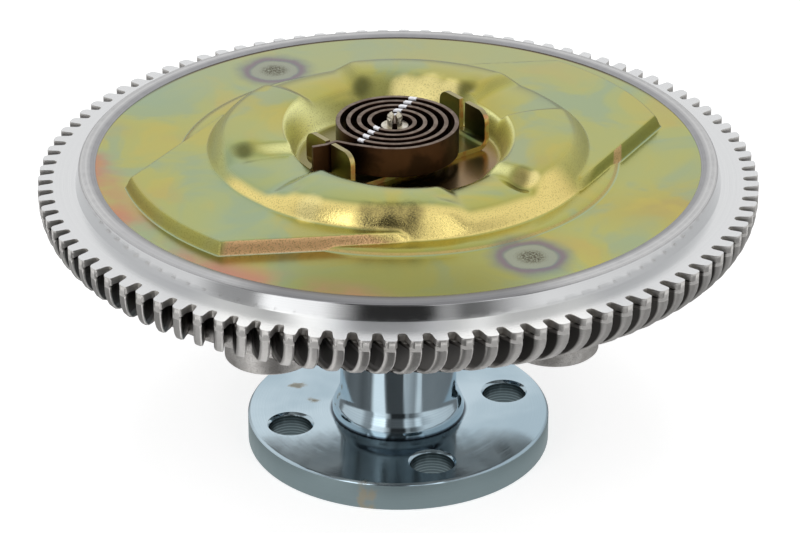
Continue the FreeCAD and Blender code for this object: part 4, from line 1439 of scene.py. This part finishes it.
    def pad(self) -> Shape:
        """Round pad for one of the fan's screws.

        Returns:
            The pad at azimuth 0.
        """
        mesh = bmesh.new()
        points = [
            (0.02, self.pad_hole_top), (self.pad_hole_r, self.pad_hole_top),
            (self.pad_hole_r, self.pad_low + 0.5),
            (self.pad_hole_r + 0.5, self.pad_low), (self.pad_r - 0.6, self.pad_low),
            (self.pad_r, self.pad_low + 0.6), (self.pad_r + 0.25, self.pad_root_z),
        ]
        centre = Vector((self.pad_circle, 0.0, 0.0))
        self.spin(mesh, [centre + Vector((radius, 0.0, z)) for radius, z in points], centre, 44, closed=False)
        bmesh.ops.holes_fill(mesh, edges=[edge for edge in mesh.edges if edge.is_boundary], sides=60)
        bmesh.ops.recalc_face_normals(mesh, faces=mesh.faces)
        return mesh


@dataclass
class BimetalSpring:
    """Spiral of bimetal strip from the valve pin's slot to the ears of the strap."""

    axis_x: float = -1.2
    axis_y: float = 0.5
    first_r: float = 5.75
    pitch: float = 3.53
    half_turns: int = 9
    last_sweep: float = 15.0
    strip: float = 1.5
    low_z: float = 109.4
    high_z: float = 119.8
    stem_tip: float = -2.2
    stem_end: float = 4.95
    seam: float = 0.03
    bend_shift: float = 1.2
    bend_cut: float = 0.35
    step_angle: float = 4.5
    sheared_edge: float = 0.18
    strap_azimuth: float = 37.0
    tail: tuple[Span, ...] = ((-22.8, 5.35), (-25.6, 0.0), (-30.0, 0.0), (-34.6, -1.1))

    def strap_point(self, along: float, across: float) -> Vector:
        """Plan point from its distances along and across the strap."""
        return polar(along, self.strap_azimuth) + polar(across, self.strap_azimuth - 90.0)

    def build(self, finishes: dict[str, Material]) -> Object:
        """Wind an upright edge round alternating centres, then run it out to the hook.

        Args:
            finishes: The clutch's materials.

        Returns:
            The spring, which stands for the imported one.
        """
        stem, last = self.begin(self.stem_tip)
        self.run_to(stem, last, Vector((self.axis_x, self.axis_y + self.stem_end, 0.0)))
        self.strip_piece("coil_stem", stem, finishes, Body.VALVE)
        mesh, last = self.begin(self.stem_end + self.seam)
        for out, back in ((self.bend_cut, self.bend_cut), (self.bend_shift, 0.05)):
            target = Vector((self.axis_x + out, self.axis_y + self.first_r - back, 0.0))
            last = self.run_to(mesh, last, target)
        growth = self.pitch / 2.0
        first_skip = math.degrees(math.asin(self.bend_shift / (self.first_r + growth / 2.0)))
        for turn in range(self.half_turns + 1):
            side = -1.0 if turn % 2 == 0 else 1.0
            centre = Vector((self.axis_x, self.axis_y + side * growth / 2.0, 0.0))
            sweep = 180.0 - first_skip if turn == 0 else 180.0
            if turn == self.half_turns:
                sweep = self.last_sweep
            steps = max(4, round(sweep / self.step_angle))
            last = swept(mesh, last, centre, -math.radians(sweep), steps)
        for along, across in self.tail:
            last = self.run_to(mesh, last, self.strap_point(along, across))
        spring = self.strip_piece("coil_spring", mesh, finishes, Body.HOUSING)
        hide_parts("bimetal_coil")
        return spring

    def begin(self, out: float) -> tuple[Shape, list]:
        """Start a strip with its upright end edge, at a distance from the pin's axis.

        Args:
            out: That distance, in millimetres.

        Returns:
            The strip, and the end edge with its vertices.
        """
        mesh = bmesh.new()
        start = Vector((self.axis_x, self.axis_y + out, self.low_z))
        foot = mesh.verts.new(start)
        head = mesh.verts.new(start + UP * (self.high_z - self.low_z))
        return mesh, [foot, head, mesh.edges.new((foot, head))]

    def strip_piece(self, name: str, mesh: Shape, finishes: dict[str, Material], body: Body) -> Object:
        """Finish a strip: its thickness and its sheared edges.

        Args:
            name: The piece's name.
            mesh: The strip's middle surface, in millimetres.
            finishes: The clutch's materials.
            body: The body that it moves with.

        Returns:
            The finished piece.
        """
        spring = finished(name, mesh, finishes["bimetal"], body)
        modify(spring, "strip", "SOLIDIFY", thickness=self.strip * MM, offset=0.0)
        modify(
            spring, "sheared_edges", "BEVEL", width=self.sheared_edge * MM, segments=2, limit_method="ANGLE",
            harden_normals=True,
        )
        return spring

    @staticmethod
    def run_to(mesh: Shape, geometry: list, target: Vector) -> list:
        """Extrude the strip's end edge straight to a plan point.

        Args:
            mesh: The strip so far, in millimetres.
            geometry: The end edge and its vertices.
            target: Plan point that the end moves to.

        Returns:
            The new end edge and its vertices.
        """
        edges = [item for item in geometry if isinstance(item, bmesh.types.BMEdge)]
        made = bmesh.ops.extrude_edge_only(mesh, edges=edges)["geom"]
        verts = [item for item in made if isinstance(item, bmesh.types.BMVert)]
        shift = Vector((target.x, target.y, 0.0)) - Vector((verts[0].co.x, verts[0].co.y, 0.0))
        bmesh.ops.translate(mesh, verts=verts, vec=shift)
        edges = [item for item in made if isinstance(item, bmesh.types.BMEdge)]
        ends = [edge for edge in edges if set(edge.verts) == set(verts)]
        return verts + ends


@dataclass
class StakedHead:
    """Staked end of the valve pin: two prongs hammered together over the strip."""

    axis_x: float = -1.2
    axis_y: float = 0.5
    prong: Spot = (1.25, 2.1, 1.7)
    slot: float = 1.1
    high_z: float = 122.5

    def build(self, finishes: dict[str, Material]) -> Object:
        """Model both prongs, pinched and splayed by the punch.

        Args:
            finishes: The clutch's materials.

        Returns:
            The piece on the valve.
        """
        mesh = bmesh.new()
        for side, lean in ((-1.0, 0.3), (1.0, 0.15)):
            made = bmesh.ops.create_uvsphere(mesh, u_segments=24, v_segments=14, radius=1.0)["verts"]
            bmesh.ops.scale(mesh, verts=made, vec=self.prong)
            for vertex in made:
                vertex.co.x -= side * lean * max(vertex.co.z, 0.0)
                vertex.co.y += 0.3 * math.sin(vertex.co.z * 2.2 + side)
            out = side * (self.slot / 2.0 + 0.9)
            centre = Vector((self.axis_x + out, self.axis_y, self.high_z - self.prong[2]))
            bmesh.ops.translate(mesh, verts=made, vec=centre)
        return finished("staked_head", mesh, finishes["pin_steel"], Body.VALVE)


@dataclass(frozen=True)
class Studio:
    """Pale floor, soft lamps and the camera of the photograph."""

    camera_place: Spot = (0.0, -1.00574, 0.58115)
    camera_tilt: float = 62.843
    lens: float = 148.75
    sensor: float = 36.0
    shift: float = 0.00217
    floor_half: float = 4.0
    floor_z: float = -0.0005
    floor_grey: float = 0.62
    floor_glow: float = 0.64
    level_room: tuple[Span, ...] = (
        (-180.0, 0.55), (-152.0, 0.5), (-138.0, 0.7), (-90.0, 0.85), (-68.0, 0.85), (-59.0, 0.4),
        (-47.0, 0.36), (-43.0, 1.4), (-25.0, 1.2), (-18.0, 0.5), (-12.0, 0.03), (11.0, 0.03), (14.0, 0.4),
        (18.0, 0.38),
        (21.0, 0.15), (28.0, 0.2), (38.0, 0.65), (47.0, 0.95), (80.0, 0.85), (130.0, 0.65), (180.0, 0.45),
    )
    screens: tuple[Span, ...] = (
        (-43.0, 1.9), (-23.0, 1.9), (-22.0, 0.6), (-18.0, 0.12), (8.0, 0.14), (13.0, 1.05), (20.0, 0.8),
        (27.0, 0.6), (33.0, 1.5), (38.0, 1.4), (44.0, 0.45),
    )
    high_left: tuple[Span, ...] = (
        (-180.0, 1.0), (-150.0, 0.95), (-125.0, 0.9), (-100.0, 0.85), (-80.0, 0.8), (-66.0, 0.65),
        (-50.0, 0.35),
    )
    high_right: tuple[Span, ...] = ((60.0, 0.6), (80.0, 0.8), (125.0, 0.85), (150.0, 0.95), (180.0, 1.0))
    shaft_left: tuple[Span, ...] = (
        (-180.0, 1.0), (-150.0, 0.9), (-125.0, 0.45), (-100.0, 0.25), (-80.0, 0.3), (-66.0, 0.2),
        (-50.0, 0.3),
    )
    shaft_right: tuple[Span, ...] = ((60.0, 0.45), (125.0, 0.4), (150.0, 0.9), (180.0, 1.0))
    brightest: float = 2.0
    ceiling: float = 0.85
    near_floor: float = 0.75
    floor_dim: float = 0.62
    fill: float = 0.6
    aim: Spot = (0.0, 0.0, 0.09)
    lamps: tuple[tuple[str, Spot, Span, float], ...] = (
        ("front_left_screen", (-0.85, -1.25, 1.0), (0.7, 0.8), 7.0),
        ("front_right_screen", (0.8, -1.3, 1.0), (0.7, 0.8), 6.0),
        ("top_screen", (0.0, 0.25, 1.6), (1.2, 1.0), 8.0),
    )

    def build(self) -> None:
        """Set up camera, floor, lamps and world."""
        self.camera()
        self.floor()
        for name, place, size, power in self.lamps:
            self.lamp(name, place, size, power)
        self.world()

    def camera(self) -> None:
        """Place the camera."""
        data = bpy.data.cameras.new("photo_camera")
        data.lens = self.lens
        data.sensor_width = self.sensor
        data.shift_x = self.shift
        camera = bpy.data.objects.new("photo_camera", data)
        camera.location = self.camera_place
        camera.rotation_euler = (math.radians(self.camera_tilt), 0.0, 0.0)
        bpy.context.scene.collection.objects.link(camera)
        bpy.context.scene.camera = camera

    @staticmethod
    def turn_share(x: Field, y: Field) -> Field:
        """Azimuth from the camera's side as a share of a full turn: 0.5 at the camera, more to its right."""
        return x.wiring.math("ARCTAN2", x, y * -1.0) * (0.5 / math.pi) + 0.5

    def room(self, wiring: Wiring, share: Field, stops: tuple[Span, ...]) -> Field:
        """Brightness of the room round the clutch: lit screens and the dark gaps between them.

        Args:
            wiring: The tree to build in.
            share: Azimuth as a share of a full turn.
            stops: Azimuth in degrees and brightness of each stop.

        Returns:
            The brightness.
        """
        greys = [(azimuth / 360.0 + 0.5, (level / self.brightest,) * 3 + (1.0,)) for azimuth, level in stops]
        return wiring.ramp(share, greys) * self.brightest

    def floor(self) -> None:
        """Lay the floor."""
        mesh = bmesh.new()
        bmesh.ops.create_grid(mesh, x_segments=8, y_segments=8, size=self.floor_half)
        data = bpy.data.meshes.new("floor")
        mesh.to_mesh(data)
        mesh.free()
        floor = bpy.data.objects.new("floor", data)
        floor.location.z = self.floor_z
        bpy.context.scene.collection.objects.link(floor)
        data.materials.append(self.floor_material())

    def floor_material(self) -> Material:
        """Matt floor that keeps the shadow, lifted to white for the camera; metal sees the room in it.

        Returns:
            The material.
        """
        material = bpy.data.materials.new("pale_floor")
        wiring = Wiring.of(material)
        matt = wiring.field("ShaderNodeBsdfDiffuse", {"Color": (self.floor_grey,) * 3 + (1.0,)})
        lift = wiring.ray("Camera") * self.floor_glow
        glow = wiring.field("ShaderNodeEmission", {"Color": "FFFFFF", "Strength": lift})
        place = wiring.coordinate()
        away = wiring.length(place)
        x, y, _ = wiring.split(place)
        share = self.turn_share(x, y)
        around = self.room(wiring, share, self.shaft_left + self.screens + self.shaft_right) * self.floor_dim
        near = wiring.blend(away.step(0.070, 0.078), self.near_floor, around)
        level = wiring.blend(away.step(0.15, 0.35), near, self.room(wiring, share, self.level_room))
        chosen = wiring.field("ShaderNodeMixShader", {
            0: wiring.ray("Glossy"),
            1: wiring.field("ShaderNodeAddShader", {0: matt, 1: glow}),
            2: wiring.field("ShaderNodeEmission", {"Strength": level}),
        })
        wiring.node("ShaderNodeOutputMaterial", {"Surface": chosen})
        return material

    def lamp(self, name: str, place: Spot, size: Span, power: float) -> None:
        """Add a rectangular soft lamp that looks at the clutch.

        Args:
            name: The lamp's name.
            place: Its position in metres.
            size: Its width and height in metres.
            power: Its power in watts.
        """
        data = bpy.data.lights.new(name, "AREA")
        data.shape = "RECTANGLE"
        data.size, data.size_y = size
        data.energy = power
        lamp = bpy.data.objects.new(name, data)
        lamp.visible_glossy = False
        lamp.location = place
        lamp.rotation_euler = (Vector(self.aim) - Vector(place)).to_track_quat("-Z", "Y").to_euler()
        bpy.context.scene.collection.objects.link(lamp)

    def world(self) -> None:
        """White for the camera, and for metal a room with lit screens and dark gaps between them."""
        world = bpy.data.worlds.new("studio")
        bpy.context.scene.world = world
        wiring = Wiring.of(world)
        x, y, z = wiring.split(wiring.coordinate("Generated"))
        share = self.turn_share(x, y)
        level_walls = self.room(wiring, share, self.level_room)
        high_walls = self.room(wiring, share, self.high_left + self.screens + self.high_right)
        walls = wiring.blend(z.step(0.12, 0.3), level_walls, high_walls)
        mirrored = wiring.blend(z.step(0.72, 0.9), walls, self.ceiling)
        level = wiring.blend(wiring.ray("Glossy"), self.fill, mirrored)
        seen = wiring.math("MAXIMUM", wiring.ray("Camera"), wiring.ray("Transmission"))
        sky = {"Color": "FFFFFF", "Strength": wiring.blend(seen, level, 1.0)}
        wiring.node("ShaderNodeOutputWorld", {"Surface": wiring.field("ShaderNodeBackground", sky)})


class Clutch:
    """The whole clutch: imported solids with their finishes, and the pieces made here."""

    plan: tuple[tuple[str, Edge, tuple[str, ...]], ...] = (
        ("blue_zinc", Edge.BROKEN, ("drive_shaft",)),
        ("bearing_steel", Edge.BROKEN, ("bearing_inner_ring", "bearing_outer_ring", "bearing_rollers")),
        ("spring_steel", Edge.CRISP, ("bearing_retaining_ring", "valve_lever")),
        ("turned_aluminium", Edge.BROKEN, ("rotor",)),
        ("seal_rubber", Edge.BROKEN, ("cover_seal_ring",)),
        ("seal_rubber", Edge.CRISP, ("valve_shaft_seal",)),
        ("plate_steel", Edge.CRISP, ("partition_plate", "partition_stud_1", "partition_stud_2")),
        ("plate_steel", Edge.BROKEN, ("pump_wiper",)),
        ("pin_steel", Edge.BROKEN, ("valve_shaft", "bracket_rivet_1", "bracket_rivet_2")),
        ("bush_brass", Edge.CRISP, ("valve_bush",)),
        ("strap_zinc", Edge.BROKEN, ("bimetal_bracket",)),
        ("housing_aluminium", Edge.SHARP, ("clutch_body",)),
        ("yellow_zinc", Edge.SHARP, ("cover_plate",)),
        ("bimetal", Edge.SHARP, ("bimetal_coil",)),
    )

    def __init__(self, frame: dict) -> None:
        """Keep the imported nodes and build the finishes.

        Args:
            frame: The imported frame, as loaded.
        """
        self.nodes = frame["nodes"]
        effects = Effects()
        self.finishes = {finish.name: finish.build(effects) for finish in FINISHES}

    def dress_solids(self) -> None:
        """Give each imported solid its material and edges."""
        for finish, edge, names in self.plan:
            for name in names:
                dress(self.nodes[name], self.finishes[finish], edge)
                LOG.info("%s: %s", name, finish)

    def add_pieces(self) -> None:
        """Build the pieces that stand for, or add to, the solids."""
        for assembly in (FinnedHousing(), PressedCover(), BimetalSpring(), StakedHead()):
            assembly.build(self.finishes)


def corners(box: tuple[Vector, Vector]) -> list[list[float]]:
    """Lowest and highest corner of a box as plain lists."""
    return [[round(value, 6) for value in corner] for corner in box]


def main() -> None:
    """Load the frame, build the clutch and the studio, and set the view transform."""
    logging.basicConfig(level=logging.INFO, format="%(message)s")
    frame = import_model()
    clutch = Clutch(frame)
    clutch.dress_solids()
    clutch.add_pieces()
    Studio().build()
    bpy.context.scene.view_settings.view_transform = "Standard"


if __name__ == "__main__":
    main()
